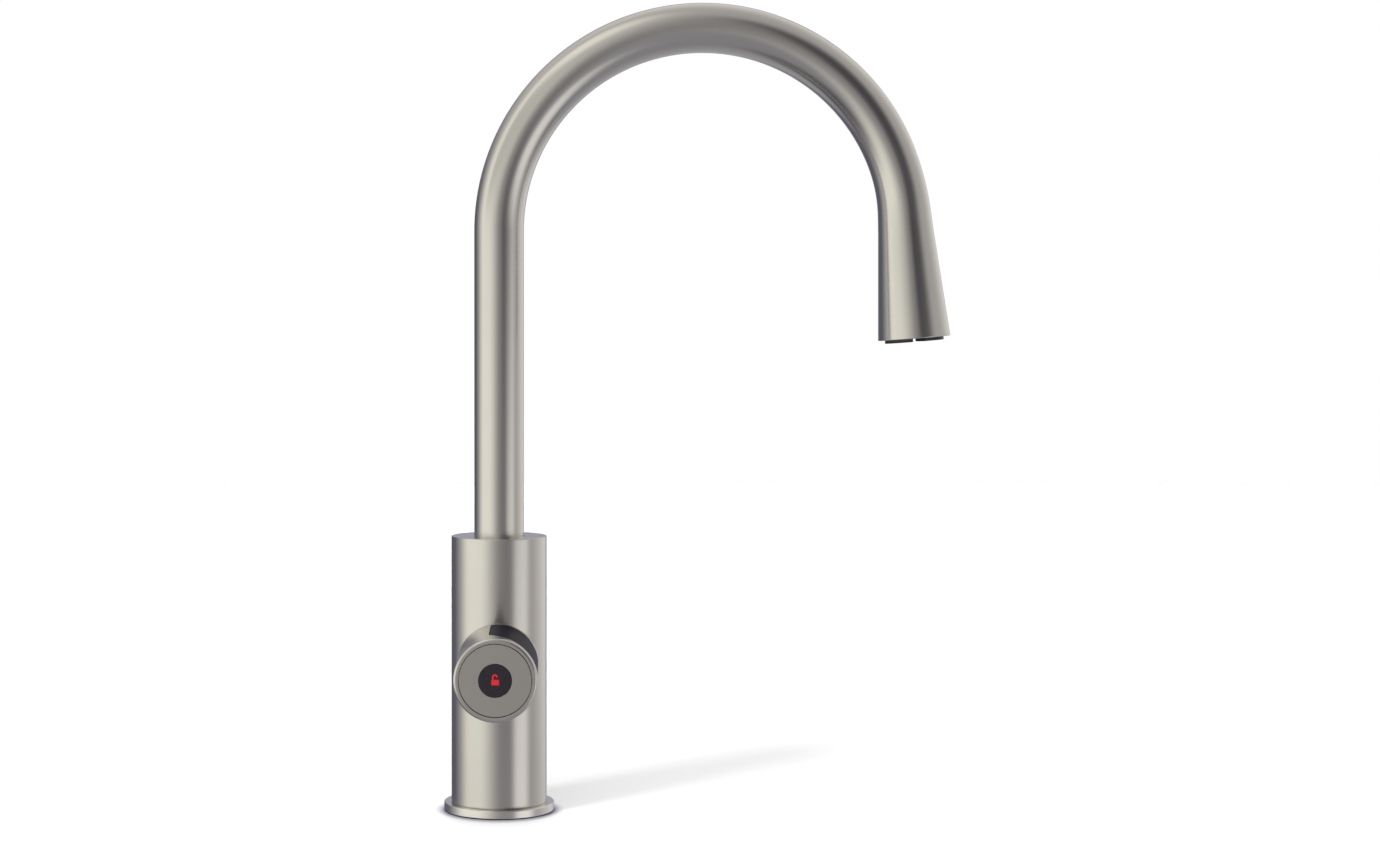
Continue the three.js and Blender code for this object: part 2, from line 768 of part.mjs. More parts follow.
// The window and the panel share this outline on the barrel's skin, drawn in by a margin.
function panelTile(inner, outer, margin) {
  const half = panelHalfWidth - margin;
  const corner = panelCorner - margin;
  const bow = panelBow - margin;
  const ends = [0, 0.15, 0.5, 1].map((share) => share * corner);
  const across = [
    ...ends.map((d) => d - half),
    ...evenly(corner - half, half - corner, panelSteps).slice(1, -1),
    ...ends.map((d) => half - d).reverse(),
  ];
  const drawIn = (s) => {
    const into = Math.max(0, Math.abs(s) - (half - corner));
    return corner - Math.sqrt(Math.max(0, corner * corner - into * into));
  };
  const spanAt = (angle) => {
    const s = (angle - panelMiddle) * barrelRadius;
    const front = panelFront - panelBow + Math.sqrt(Math.max(0, bow * bow - s * s));
    return [panelBack + margin + drawIn(s), front - drawIn(s)];
  };
  return arcBar(inner, outer, across.map((s) => panelMiddle + s / barrelRadius), spanAt);
}

// One turned cup, coped to sit on the column, with the window for the touch panel through its wall.
function barrelShell() {
  const rim = evenly(0, Math.PI / 2, rimSteps).map((t) => [
    barrelRadius - barrelRimRound + barrelRimRound * Math.cos(t),
    barrelReach - barrelRimRound + barrelRimRound * Math.sin(t),
  ]);
  const cup = revolve([
    [stubRadius + seatGap, 0],
    [barrelRadius, 0],
    ...rim,
    [barrelBore, barrelReach],
    [barrelBore, bulkheadFront],
    [stubRadius + seatGap, bulkheadFront],
  ], fineSides);
  const cope = drill(
    bodyRadius + seatGap,
    new THREE.Vector3(0, -barrelRadius - cutOver, 0),
    new THREE.Vector3(0, barrelRadius + cutOver, 0),
    fineSides,
  );
  return cup.subtract(cope).subtract(panelTile(barrelBore - cutOver, barrelRadius + cutOver, 0));
}

function barrelStub() {
  const front = bulkheadFront + seatGap + stubNutLength + stubProud;
  return ring(stubBore, stubRadius, coreRadius - stubInset + seatGap, front);
}

function stubNut() {
  const low = bulkheadFront + seatGap;
  const bore = rod(stubRadius + seatGap, low - cutOver, low + stubNutLength + cutOver);
  return rod(stubNutRadius, low, low + stubNutLength, hexSides).subtract(bore);
}

function touchPanel() {
  return panelTile(barrelBore, barrelRadius - panelRecess, panelGap);
}

// The carrier fills the barrel's bore behind the panel, with a flat for the touch board.
function panelCarrier() {
  const outline = evenly(panelMiddle - panelHalfAngle, panelMiddle + panelHalfAngle, bandSteps)
    .map((angle) => new THREE.Vector2(carrierRadius * Math.cos(angle), carrierRadius * Math.sin(angle)));
  const extrusion = { depth: carrierLength, bevelEnabled: false };
  return solid(new THREE.ExtrudeGeometry(new THREE.Shape(outline), extrusion).translate(0, 0, carrierBack));
}

function touchBoard() {
  const distance = carrierChord - seatGap - touchBoardThickness / 2;
  const width = 2 * (carrierRadius * Math.sin(panelHalfAngle) - touchBoardMargin);
  return block(touchBoardThickness, width, carrierLength, [distance, 0, 0])
    .rotate([0, 0, THREE.MathUtils.radToDeg(panelMiddle)])
    .translate([0, 0, carrierBack + carrierLength / 2]);
}

// ---- Push button, in the barrel's frame with Z = 0 at its front ----
const faceRadius = barrelBore - runningGap - facetSlack;
const plateBack = -buttonSinkDepth - buttonPlateThickness;
const lensBack = plateBack - seatGap - lensRimThickness;
const stemFront = lensBack - seatGap;
const stemHeadBack = stemFront - stemHeadThickness;
const guideFront = -guidePlateDepth;

function buttonFace() {
  const hole = lensRadius + seatGap / 2;
  return revolve([
    [hole, plateBack],
    [faceRadius - buttonSkirtThickness, plateBack],
    [faceRadius - buttonSkirtThickness, -buttonSkirtDepth],
    [faceRadius, -buttonSkirtDepth],
    [faceRadius, -buttonSinkDepth],
    [hole, -buttonSinkDepth],
  ], fineSides);
}

function lockLens() {
  const rimFront = plateBack - seatGap;
  return revolve([
    [0, lensBack],
    [lensRadius + lensRimWidth, lensBack],
    [lensRadius + lensRimWidth, rimFront],
    [lensRadius, rimFront],
    [lensRadius, -buttonSinkDepth],
    [0, -buttonSinkDepth],
  ], fineSides);
}

function buttonStem() {
  const foot = stemHeadBack - stemLength;
  return revolve([
    [stemRadius - stemWall, foot],
    [stemRadius, foot],
    [stemRadius, stemHeadBack],
    [faceRadius - buttonSkirtThickness - seatGap, stemHeadBack],
    [faceRadius - buttonSkirtThickness - seatGap, stemFront],
    [stemRadius - stemWall, stemFront],
  ], roundSides);
}

function lightGuide() {
  return rod(stemRadius - stemWall - seatGap, stemHeadBack - stemLength + seatGap, stemFront, smallSides);
}

// The return spring: a round wire wound round the guide's sleeve.
function buttonSpring() {
  const low = guideFront + seatGap + springWire;
  const high = stemHeadBack - seatGap - springWire;
  const steps = springTurns * springStepsPerTurn;
  return skin(evenly(0, 1, steps).map((share) => {
    const angle = 2 * Math.PI * springTurns * share;
    const height = low + (high - low) * share;
    return around(springSides).map((t) => polar(
      springRadius + springWire * Math.cos(t),
      angle,
      height + springWire * Math.sin(t),
    ));
  }));
}

// The guide is fixed in the barrel: a sleeve for the stem on a plate, and posts for the switch board.
function buttonGuide() {
  const bore = stemRadius + runningGap + facetSlack;
  const sleeve = bore + guideSleeveWall;
  const back = guideFront - guidePlateThickness;
  const guide = revolve([
    [bore, back],
    [barrelBore - seatGap, back],
    [barrelBore - seatGap, guideFront],
    [sleeve, guideFront],
    [sleeve, -guideSleeveDepth],
    [bore, -guideSleeveDepth],
  ], roundSides);
  const post = rod(guidePostRadius, back - guidePostLength, back + guidePlateThickness / 2, smallSides);
  return around(guidePosts, Math.PI / 2).reduce((joined, angle) => {
    const place = polar(guidePostOffset, angle);
    return joined.add(post.translate([place.x, place.y, 0]));
  }, guide);
}

function switchBoard() {
  return rod(barrelBore - boardMargin, boardFront - boardThickness, boardFront);
}

// A lit push switch: its clear cap waits under the stem and shines into the light guide.
function litSwitch() {
  const foot = boardFront + seatGap;
  const capTop = stemHeadBack - stemLength - buttonTravel - runningGap;
  const cap = rod(switchCap, foot + switchHeight / 2, capTop, smallSides);
  return block(switchWidth, switchWidth, switchHeight, [0, 0, foot + switchHeight / 2]).add(cap);
}

// ---- Assembly ----
const tap = new THREE.Group();

function addFixing() {
  const underside = -worktopThickness - seatGap;
  const washerTop = underside - clampGasketThickness - seatGap;
  const nutTop = washerTop - clampWasherThickness - seatGap;
  const bore = shankRadius + seatGap;
  piece(tap, 'base_flange', baseFlange(), brushedNickel);
  piece(tap, 'base_gasket', baseGasket(), rubber);
  piece(tap, 'fixing_shank', fixingShank(), brass);
  piece(tap, 'clamp_gasket', ring(bore, clampRadius, underside - clampGasketThickness, underside), rubber);
  piece(tap, 'clamp_washer', ring(bore, clampRadius, washerTop - clampWasherThickness, washerTop), steel);
  piece(tap, 'clamp_nut', clampNut(nutTop - clampNutHeight), brass);
  piece(tap, 'shank_gland', shankGland(), blackPlastic);
}

function addWaterWays() {
  const placed = (name, body, angle, material) => {
    piece(tap, name, body, material).position.copy(polar(feedOffset, angle));
  };
  placed('boiling_inlet', hoseNipple(), boilingAngle, steel);
  placed('cold_inlet', hoseNipple(), coldAngle, steel);
  placed('cable_socket', cableSocket(), leadAngle, blackPlastic);
  placed('boiling_feed_pipe', feedPipe(), boilingAngle, copper);
  placed('cold_feed_pipe', feedPipe(), coldAngle, copper);
  piece(tap, 'control_lead', controlLead(), blackPlastic);
}

function addColumn() {
  piece(tap, 'body_shell', bodyShell(), brushedNickel);
  piece(tap, 'body_core', bodyCore(), brass);
  piece(tap, 'glide_ring_upper', glideRing(tubeRadius + 2 * runningGap, collarTop + seatGap), whitePlastic);
  piece(tap, 'glide_ring_lower', glideRing(spindleBore + runningGap, glideSeat + seatGap), whitePlastic);
  piece(tap, 'swivel_stop_pin', stopPin(), steel);
}

function addSpout() {
  const spout = new THREE.Group();
  tap.add(spout);
  piece(spout, 'spout_tube', spoutTube(), brushedNickel);
  piece(spout, 'spout_spigot', spoutSpigot(), brass);
  const grooveFloor = spindleRadius - sealGroove;
  piece(spout, 'spigot_seal_upper', roundSeal(grooveFloor, collarFoot - upperSealDepth), rubber);
  piece(spout, 'spigot_seal_lower', roundSeal(grooveFloor, collarFoot - lowerSealDepth), rubber);
  piece(spout, 'boiling_spout_pipe', spoutPipe(-1), copper);
  piece(spout, 'cold_spout_pipe', spoutPipe(1), copper);
  addOutlet(spout);
}

function addOutlet(spout) {
  const outlet = new THREE.Group();
  outlet.position.copy(routeAt(spoutRoute, spoutLength).point);
  outlet.rotation.y = -tailTilt;
  spout.add(outlet);
  piece(outlet, 'outlet_insert', outletInsert(), blackPlastic);
  piece(outlet, 'outlet_seal', roundSeal(insertRadius - sealGroove, outletSealHeight), rubber);
  piece(outlet, 'outlet_manifold', outletManifold(), whitePlastic);
  piece(outlet, 'flow_screen', flowScreen(), steel);
}

function addControl() {
  const control = new THREE.Group();
  control.position.z = barrelHeight;
  control.rotation.x = Math.PI / 2;
  tap.add(control);
  piece(control, 'barrel_shell', barrelShell(), brushedNickel);
  piece(control, 'barrel_stub', barrelStub(), brass);
  piece(control, 'stub_nut', stubNut(), brass);
  piece(control, 'touch_panel', touchPanel(), blackGlass);
  piece(control, 'panel_carrier', panelCarrier(), blackPlastic);
  piece(control, 'touch_board', touchBoard(), boardGreen);

  const front = new THREE.Group();
  front.position.z = barrelReach;
  control.add(front);
  piece(front, 'button_guide', buttonGuide(), whitePlastic);
  piece(front, 'switch_board', switchBoard(), boardGreen);
  piece(front, 'lit_switch', litSwitch(), clearPlastic);
  piece(front, 'button_face', buttonFace(), faceNickel);
  piece(front, 'lock_lens', lockLens(), lensBlack);
  piece(front, 'button_stem', buttonStem(), whitePlastic);
  piece(front, 'light_guide', lightGuide(), clearPlastic);
  piece(front, 'button_spring', buttonSpring(), steel);
}

addFixing();
addWaterWays();
addColumn();
addSpout();
addControl();

export default tap;
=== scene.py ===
import json
import math

import bmesh
import bpy
import numpy as np
from mathutils import Matrix, Vector


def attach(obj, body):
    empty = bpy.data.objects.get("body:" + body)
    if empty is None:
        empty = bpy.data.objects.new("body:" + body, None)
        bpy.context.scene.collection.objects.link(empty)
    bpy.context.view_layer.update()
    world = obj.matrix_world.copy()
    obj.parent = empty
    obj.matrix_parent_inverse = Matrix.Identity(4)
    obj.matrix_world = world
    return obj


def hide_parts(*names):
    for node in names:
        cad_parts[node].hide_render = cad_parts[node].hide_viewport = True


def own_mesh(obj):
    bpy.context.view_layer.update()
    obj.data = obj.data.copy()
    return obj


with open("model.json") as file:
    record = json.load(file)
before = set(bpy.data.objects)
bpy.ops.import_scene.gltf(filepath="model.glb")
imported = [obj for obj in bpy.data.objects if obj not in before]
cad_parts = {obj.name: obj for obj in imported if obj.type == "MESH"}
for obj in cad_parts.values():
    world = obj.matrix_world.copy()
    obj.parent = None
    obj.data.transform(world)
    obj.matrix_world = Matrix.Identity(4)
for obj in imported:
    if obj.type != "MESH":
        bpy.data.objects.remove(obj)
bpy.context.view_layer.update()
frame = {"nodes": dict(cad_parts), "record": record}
mm = 0.001  # of a metre, Blender's unit
scene = bpy.context.scene
scene.view_settings.view_transform = "Standard"
print("frame loaded with", len(frame["nodes"]), "nodes")


# the camera, fitted to the outlines in the photograph
view = {
    "picture": (1380, 848),  # pixels
    "place": (29.9, -1234.5, 249.9),  # mm
    "ahead": (-0.01333, 0.99975, -0.01796),
    "focus": 2355.2,  # focal length in pixels
    "middle": (524.7, 376.0),  # the pixel that lies straight ahead
    "sensor": 36,  # mm
    "clip": (0.01, 60),  # the nearest and the farthest that it sees, in metres
}


def addCamera():
    width, height = view["picture"]
    camera = bpy.data.objects.new("camera", bpy.data.cameras.new("camera"))
    scene.collection.objects.link(camera)
    ahead = Vector(view["ahead"]).normalized()
    right = ahead.cross(Vector((0, 0, 1))).normalized()
    up = right.cross(ahead)
    turn = Matrix((right, up, -ahead)).transposed().to_4x4()
    camera.matrix_world = Matrix.Translation(Vector(view["place"]) * mm) @ turn
    camera.data.sensor_width = view["sensor"]
    camera.data.lens = view["focus"] * view["sensor"] / width
    camera.data.shift_x = (width / 2 - view["middle"][0]) / width
    camera.data.shift_y = (view["middle"][1] - height / 2) / width
    camera.data.clip_start, camera.data.clip_end = view["clip"]
    scene.camera = camera


addCamera()
print("camera placed")


def linear(hexColour):  # sRGB hex to linear
    parts = [int(hexColour[i:i + 2], 16) / 255 for i in (1, 3, 5)]
    return [p / 12.92 if p <= 0.04045 else ((p + 0.055) / 1.055) ** 2.4 for p in parts] + [1]


def addNode(tree, kind, inputs=None, **settings):
    node = tree.nodes.new("ShaderNode" + kind)
    for name, value in settings.items():
        setattr(node, name, value)
    for key, value in (inputs or {}).items():
        if isinstance(value, bpy.types.NodeSocket):
            tree.links.new(value, node.inputs[key])
        else:
            node.inputs[key].default_value = value
    return node


def newMaterial(name, **inputs):
    material = bpy.data.materials.new(name)
    material.use_nodes = True
    tree = material.node_tree
    shader = tree.nodes["Principled BSDF"]
    for key, value in inputs.items():
        shader.inputs[key.replace("_", " ")].default_value = value
    return material, tree, shader


def fineLines(tree, alongMm, acrossMm):
    # noise on the UV map, whose u runs along a turned piece and v round it, both in metres
    uv = addNode(tree, "UVMap")
    stretched = addNode(tree, "Mapping", {
        "Vector": uv.outputs["UV"],
        "Scale": (1 / (alongMm * mm), 1 / (acrossMm * mm), 1),
    })
    return addNode(tree, "TexNoise", {"Vector": stretched.outputs[0], "Scale": 1.0, "Detail": 2.0})


def softNoise(tree, sizeMm, detail=3.0):
    place = addNode(tree, "TexCoord")
    return addNode(tree, "TexNoise", {
        "Vector": place.outputs["Object"],
        "Scale": 1 / (sizeMm * mm),
        "Detail": detail,
    })


def blended(tree, factor, first, second):
    ramp = addNode(tree, "Mix", {"Factor": factor}, data_type="RGBA")
    ramp.inputs[6].default_value = linear(first)
    ramp.inputs[7].default_value = linear(second)
    return ramp.outputs[2]


def spread(tree, value, low, high):
    return addNode(tree, "MapRange", {"Value": value, "To Min": low, "To Max": high}).outputs[0]


def addBump(tree, shader, height, strength, depth=0.02):
    bump = addNode(tree, "Bump", {"Height": height, "Strength": strength, "Distance": depth * mm})
    tree.links.new(bump.outputs[0], shader.inputs["Normal"])


def satinNickel(name, darkHex, lightHex):
    # nickel plate over brass, brushed round the tube: warm grey, and each light is drawn out along the tube
    material, tree, shader = newMaterial(name, Metallic=1.0, Anisotropic=0.45)
    lines = fineLines(tree, 0.35, 30)  # real lines are about 0.05 mm apart, too fine to show
    cloud = softNoise(tree, 40)
    colour = blended(tree, cloud.outputs["Fac"], darkHex, lightHex)
    tree.links.new(colour, shader.inputs["Base Color"])
    tree.links.new(spread(tree, lines.outputs["Fac"], 0.2, 0.27), shader.inputs["Roughness"])
    tangent = addNode(tree, "Tangent", direction_type="UV_MAP")
    tree.links.new(tangent.outputs[0], shader.inputs["Tangent"])
    addBump(tree, shader, lines.outputs["Fac"], 0.04)
    return material


def lappedNickel():
    # the same plate on a flat face, lapped matt: no lines, and one even grey from any side
    material, tree, shader = newMaterial("lappedNickel", Metallic=1.0)
    grain = softNoise(tree, 0.4)
    colour = blended(tree, grain.outputs["Fac"], "#C8C5BD", "#CECBC3")
    tree.links.new(colour, shader.inputs["Base Color"])
    tree.links.new(spread(tree, grain.outputs["Fac"], 0.4, 0.48), shader.inputs["Roughness"])
    return material


def machinedMetal(name, darkHex, lightHex, roughness, lineMm=0.25):
    # turned bar stock: fine tool lines round the piece, and a slightly uneven shine
    material, tree, shader = newMaterial(name, Metallic=1.0)
    lines = fineLines(tree, lineMm, 20)
    cloud = softNoise(tree, 12)
    tree.links.new(blended(tree, cloud.outputs["Fac"], darkHex, lightHex), shader.inputs["Base Color"])
    rough = spread(tree, lines.outputs["Fac"], roughness - 0.06, roughness + 0.06)
    tree.links.new(rough, shader.inputs["Roughness"])
    addBump(tree, shader, lines.outputs["Fac"], 0.1)
    return material


def mouldedPlastic(name, darkHex, lightHex, roughness, grainMm, relief=0.1, **inputs):
    # injection moulded: a fine even grain that breaks up the highlights
    material, tree, shader = newMaterial(name, **inputs)
    grain = softNoise(tree, grainMm, 4)
    tree.links.new(blended(tree, grain.outputs["Fac"], darkHex, lightHex), shader.inputs["Base Color"])
    rough = spread(tree, grain.outputs["Fac"], roughness - 0.05, roughness + 0.05)
    tree.links.new(rough, shader.inputs["Roughness"])
    addBump(tree, shader, grain.outputs["Fac"], relief)
    return material


def litSign():
    # red light through a thin film: the film glows evenly
    material, tree, shader = newMaterial("litSign", Roughness=0.4, Emission_Strength=0.8)
    haze = softNoise(tree, 1.5)
    colour = blended(tree, haze.outputs["Fac"], "#E2161F", "#EE1C26")
    tree.links.new(colour, shader.inputs["Emission Color"])
    shader.inputs["Base Color"].default_value = linear("#3A0A0C")
    return material


finishes = {
    "brushed_nickel": satinNickel("satinNickel", "#CFCDC7", "#D5D3CD"),
    "nickel_face": lappedNickel(),
    "brass": machinedMetal("turnedBrass", "#C9A566", "#D8B679", 0.32),
    "steel": machinedMetal("stainlessSteel", "#B4B6B8", "#C3C5C7", 0.3),
    "copper": machinedMetal("drawnCopper", "#C4825C", "#D39370", 0.3, 1.5),
    "black_glass": mouldedPlastic("coatedAcrylic", "#1F1E27", "#25242D", 0.44, 2, 0.02, IOR=1.49,
                                  Specular_IOR_Level=0.055),
    "lens_black": mouldedPlastic("smokedAcrylic", "#1B181F", "#211E25", 0.25, 3, 0.02, IOR=1.49),
    "black_plastic": mouldedPlastic("blackAcetal", "#1B1B1E", "#232327", 0.45, 0.8, IOR=1.48),
    "white_plastic": mouldedPlastic("whiteAcetal", "#DDDCD6", "#E6E5E0", 0.42, 0.8, IOR=1.48),
    "clear_plastic": mouldedPlastic("clearAcrylic", "#E4E9EC", "#EEF2F4", 0.12, 3, 0.02, IOR=1.49,
                                    Alpha=0.45),
    "rubber": mouldedPlastic("nitrileRubber", "#161616", "#1F1F1F", 0.8, 0.5, 0.3, IOR=1.52),
    "circuit_board": mouldedPlastic("solderMask", "#1B4A30", "#235A3B", 0.35, 2.5, IOR=1.55),
}
signFinish = litSign()
paintedBrightFlangeFinish = satinNickel("satinNickelFlangePaintedBright", "#E0DED8", "#E6E4DE")  # a shade paler than the column's finish: painted light, standing in for the brighter reflections on the flange's side
print("materials made:", len(finishes) + 2)


def rounded(outline, steps=5):
    # an outline of (radius, height) corners, a third number rounds the corner to that radius
    points = []
    count = len(outline)
    for i, corner in enumerate(outline):
        here = Vector(corner[:2])
        radius = corner[2] if len(corner) > 2 else 0
        if not radius:
            points.append(here)
            continue
        back = (Vector(outline[i - 1][:2]) - here).normalized()
        on = (Vector(outline[(i + 1) % count][:2]) - here).normalized()
        half = back.angle(on) / 2
        cut = radius / math.tan(half)
        centre = here + (back + on).normalized() * (radius / math.sin(half))
        first, last = here + back * cut - centre, here + on * cut - centre
        for k in range(steps + 1):
            points.append(centre + first.slerp(last, k / steps) * radius)  # slerp gives a unit vector
    return [tuple(p) for p in points]


def gridMesh(name, rows, endlessRows=False, endlessColumns=True, caps=False, sharp=35):
    # joins rows of points, in mm, into one skin. In its UV map, u runs along the rows' own order and v across
    grid = np.array(rows, float) * mm
    count, wide = grid.shape[:2]
    around = np.roll(grid, -1, 1) if endlessColumns else grid[:, 1:]
    width = np.linalg.norm(around - grid[:, :around.shape[1]], axis=2).max(0)
    onward = np.roll(grid, -1, 0) if endlessRows else grid[1:]
    length = np.linalg.norm(onward - grid[:onward.shape[0]], axis=2).max(1)
    us = np.concatenate([[0], np.cumsum(length)])
    vs = np.concatenate([[0], np.cumsum(width)])
    faces, spots = [], []
    for i in range(len(length)):
        for j in range(len(width)):
            i2, j2 = (i + 1) % count, (j + 1) % wide
            faces.append((i * wide + j, i * wide + j2, i2 * wide + j2, i2 * wide + j))
            spots += [(us[i], vs[j]), (us[i], vs[j + 1]), (us[i + 1], vs[j + 1]), (us[i + 1], vs[j])]
    if caps:
        first = list(range(wide))[::-1]
        last = [(count - 1) * wide + j for j in range(wide)]
        faces += [tuple(first), tuple(last)]
        spots += [(us[0], vs[j]) for j in first] + [(us[-1], vs[j]) for j in range(wide)]
    mesh = bpy.data.meshes.new(name)
    mesh.from_pydata(grid.reshape(-1, 3).tolist(), [], faces)
    layer = mesh.uv_layers.new(name="UVMap")
    layer.data.foreach_set("uv", np.array(spots, np.float32).ravel())
    tidy = bmesh.new()
    tidy.from_mesh(mesh)
    bmesh.ops.remove_doubles(tidy, verts=tidy.verts, dist=1e-7)
    bmesh.ops.dissolve_degenerate(tidy, edges=tidy.edges, dist=1e-8)
    bmesh.ops.recalc_face_normals(tidy, faces=tidy.faces)
    tidy.to_mesh(mesh)
    tidy.free()
    piece = bpy.data.objects.new(name, mesh)
    scene.collection.objects.link(piece)
    smooth(piece, sharp)
    return piece


def smooth(piece, sharp):
    piece.data.shade_smooth()
    piece.data.set_sharp_from_angle(angle=math.radians(sharp))


def weigh(piece):
    # large faces set the shading, so that a narrow rounding doesn't tint the face beside it
    piece.modifiers.new("weights", "WEIGHTED_NORMAL").keep_sharp = True


def turned(name, outline, sides=144, place=Matrix(), steps=5, start=0.0):
    angles = [start + 2 * math.pi * k / sides for k in range(sides)]
    rows = [[(r * math.cos(a), r * math.sin(a), z) for a in angles] for r, z in rounded(outline, steps)]
    piece = gridMesh(name, rows, endlessRows=True)
    piece.data.transform(place)
    return piece


def offAxis(distance, angle):
    return Matrix.Translation((distance * mm * math.cos(angle), distance * mm * math.sin(angle), 0))


def ringOutline(inner, outer, low, high, edge=0.3):
    return [(inner, low, edge), (outer, low, edge), (outer, high, edge), (inner, high, edge)]


def rodOutline(radius, low, high, edge=0.0):
    return [(0, low), (radius, low, edge), (radius, high, edge), (0, high)]


overrun = 1  # mm that a cutter goes past what it cuts


def carve(piece, cutters, operation="DIFFERENCE"):
    for cutter in cutters:
        cut = piece.modifiers.new("cut", "BOOLEAN")
        cut.solver = "EXACT"
        cut.operation = operation
        cut.object = cutter
    bpy.context.view_layer.update()
    result = bpy.data.meshes.new_from_object(piece.evaluated_get(bpy.context.evaluated_depsgraph_get()))
    piece.modifiers.clear()
    piece.data = result
    for cutter in cutters:
        bpy.data.objects.remove(cutter)


def dress(piece, body, slot, *nodes, material=None):
    piece.data.materials.clear()
    piece.data.materials.append(material or finishes[slot])
    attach(piece, body)
    if nodes:
        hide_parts(*nodes)


# the column and the flange that it stands on
column = {
    "radius": 25,
    "wall": 2.2,
    "foot": 4.55,
    "top": 144,
    "lid": 4,
    "edge": 0.45,
    "tubeHole": 13.3,
}
base = {
    "radius": 28.85,
    "lift": 0.4,
    "top": 4.5,
    "edge": 0.5,
    "bore": 16.3,
    "groove": (19.3, 26.7, 1.9),
    "ring": (22.5, 7.0),
}
worktopSeal = {"inner": 19.6, "outer": 26.4, "thickness": 1.6}


def addColumn():
    c = column
    inner = c["radius"] - c["wall"]
    shell = turned("columnBody", [
        (inner, c["foot"]),
        (c["radius"], c["foot"], 0.2),
        (c["radius"], c["top"], c["edge"]),
        (c["tubeHole"], c["top"], 0.3),
        (c["tubeHole"], c["top"] - c["lid"]),
        (inner, c["top"] - c["lid"]),
    ], sides=192)
    weigh(shell)
    dress(shell, "body", "brushed_nickel", "body_shell")
    b = base
    grooveIn, grooveOut, grooveTop = b["groove"]
    ringRadius, ringTop = b["ring"]
    foot = turned("baseFlange", [
        (b["bore"], b["lift"]),
        (grooveIn, b["lift"], 0.2),
        (grooveIn, grooveTop),
        (grooveOut, grooveTop),
        (grooveOut, b["lift"], 0.2),
        (b["radius"], b["lift"], 0.25),
        (b["radius"], b["top"], b["edge"]),
        (ringRadius, b["top"]),
        (ringRadius, ringTop, 0.3),
        (b["bore"], ringTop, 0.3),
    ], sides=192)
    weigh(foot)
    # the flange takes the paler finish, whose lighter colour is painted light
    dress(foot, "body", "brushed_nickel", "base_flange", material=paintedBrightFlangeFinish)
    s = worktopSeal
    seal = turned("baseGasket", ringOutline(s["inner"], s["outer"], 0, s["thickness"]))
    dress(seal, "body", "rubber", "base_gasket")


# what holds the tap under the worktop
shank = {
    "radius": 16,
    "bore": 14.2,
    "foot": -62,
    "top": 21.5,
    "pitch": 1.5,
    "depth": 0.6,
    "flank": 3,  # how many depths the ridge falls per pitch
    "crest": 0.4,  # depths taken off that fall, which leaves its top flat
    "runOut": 1.2,  # depths over which it runs out at both ends
}
clamp = {
    "bore": 16.3,
    "radius": 26,
    "gasket": (-32.3, -30.3),
    "washer": (-34.6, -32.6),
    "nut": (-42.9, -34.9),
    "nutCorner": 24,
    "nutTurn": -math.pi / 2,
    "nutBevel": (1.6, 0.96),  # inwards from the corners and down from the face
    "nutSpare": 0.2,  # how far the turned blank stands out past the corners
    "nutEdge": 0.4,
}
gland = {
    "head": (16, -64.3, -62.3),
    "plug": (13.9, -53),
    "way": 3.4,
    "offset": 7.4,
    "angles": (math.radians(150), math.radians(30), math.radians(-90)),
}
nipple = {"pipe": 3.1, "bore": 2.3, "foot": -76.3, "collar": (5, -66.1, -64.6), "barb": 0.7, "top": -51}
socket = {
    "mouth": -70.3,
    "shoulder": 0.3,
    "pins": 5,
    "pinCircle": 1.7,
    "pinRadius": 0.35,
    "pinFoot": -68.8,
    "pinEdge": 0.15,
}


def threadedRod(name, spec, sides=96, perPitch=6):
    # the outside is one helical ridge, which runs out at both ends
    step = spec["pitch"] / perPitch
    count = round((spec["top"] - spec["foot"]) / step)
    heights = np.linspace(spec["foot"], spec["top"], count + 1)
    angles = np.arange(sides) * 2 * math.pi / sides
    turn, height = np.meshgrid(angles, heights)
    phase = (height / spec["pitch"] - turn / (2 * math.pi)) % 1
    dip = np.clip(np.abs(phase - 0.5) * spec["flank"] - spec["crest"], 0, 1) * spec["depth"]
    ends = np.minimum(height - spec["foot"], spec["top"] - height)
    dip = np.maximum(dip, np.clip(spec["runOut"] * spec["depth"] - ends, 0, spec["depth"]))
    radius = spec["radius"] - dip
    outside = np.stack([radius * np.cos(turn), radius * np.sin(turn), height], 2)
    ends = [spec["top"], spec["foot"]]
    bore = [[(spec["bore"] * math.cos(a), spec["bore"] * math.sin(a), z) for a in angles] for z in ends]
    return gridMesh(name, outside.tolist() + bore, endlessRows=True, sharp=50)


def hexNut(name, spec):
    low, high = spec["nut"]
    corner = spec["nutCorner"]
    blank = corner + spec["nutSpare"]
    inwards, down = spec["nutBevel"]
    nut = turned(name, [
        (spec["bore"], low, spec["nutEdge"]),
        (corner - inwards, low),
        (blank, low + down),
        (blank, high - down),
        (corner - inwards, high),
        (spec["bore"], high, spec["nutEdge"]),
    ])
    outline = rodOutline(corner, low - overrun, high + overrun)
    prism = turned("prism", outline, sides=6, start=spec["nutTurn"])
    carve(nut, [prism], "INTERSECT")
    smooth(nut, 20)
    return nut


def addFixing():
    rod = threadedRod("threadedShank", shank)
    dress(rod, "body", "brass", "fixing_shank")
    pad = turned("clampGasket", ringOutline(clamp["bore"], clamp["radius"], *clamp["gasket"]))
    dress(pad, "body", "rubber", "clamp_gasket")
    plate = turned("clampWasher", ringOutline(clamp["bore"], clamp["radius"], *clamp["washer"]))
    dress(plate, "body", "steel", "clamp_washer")
    dress(hexNut("clampNut", clamp), "body", "brass", "clamp_nut")
    addGland()


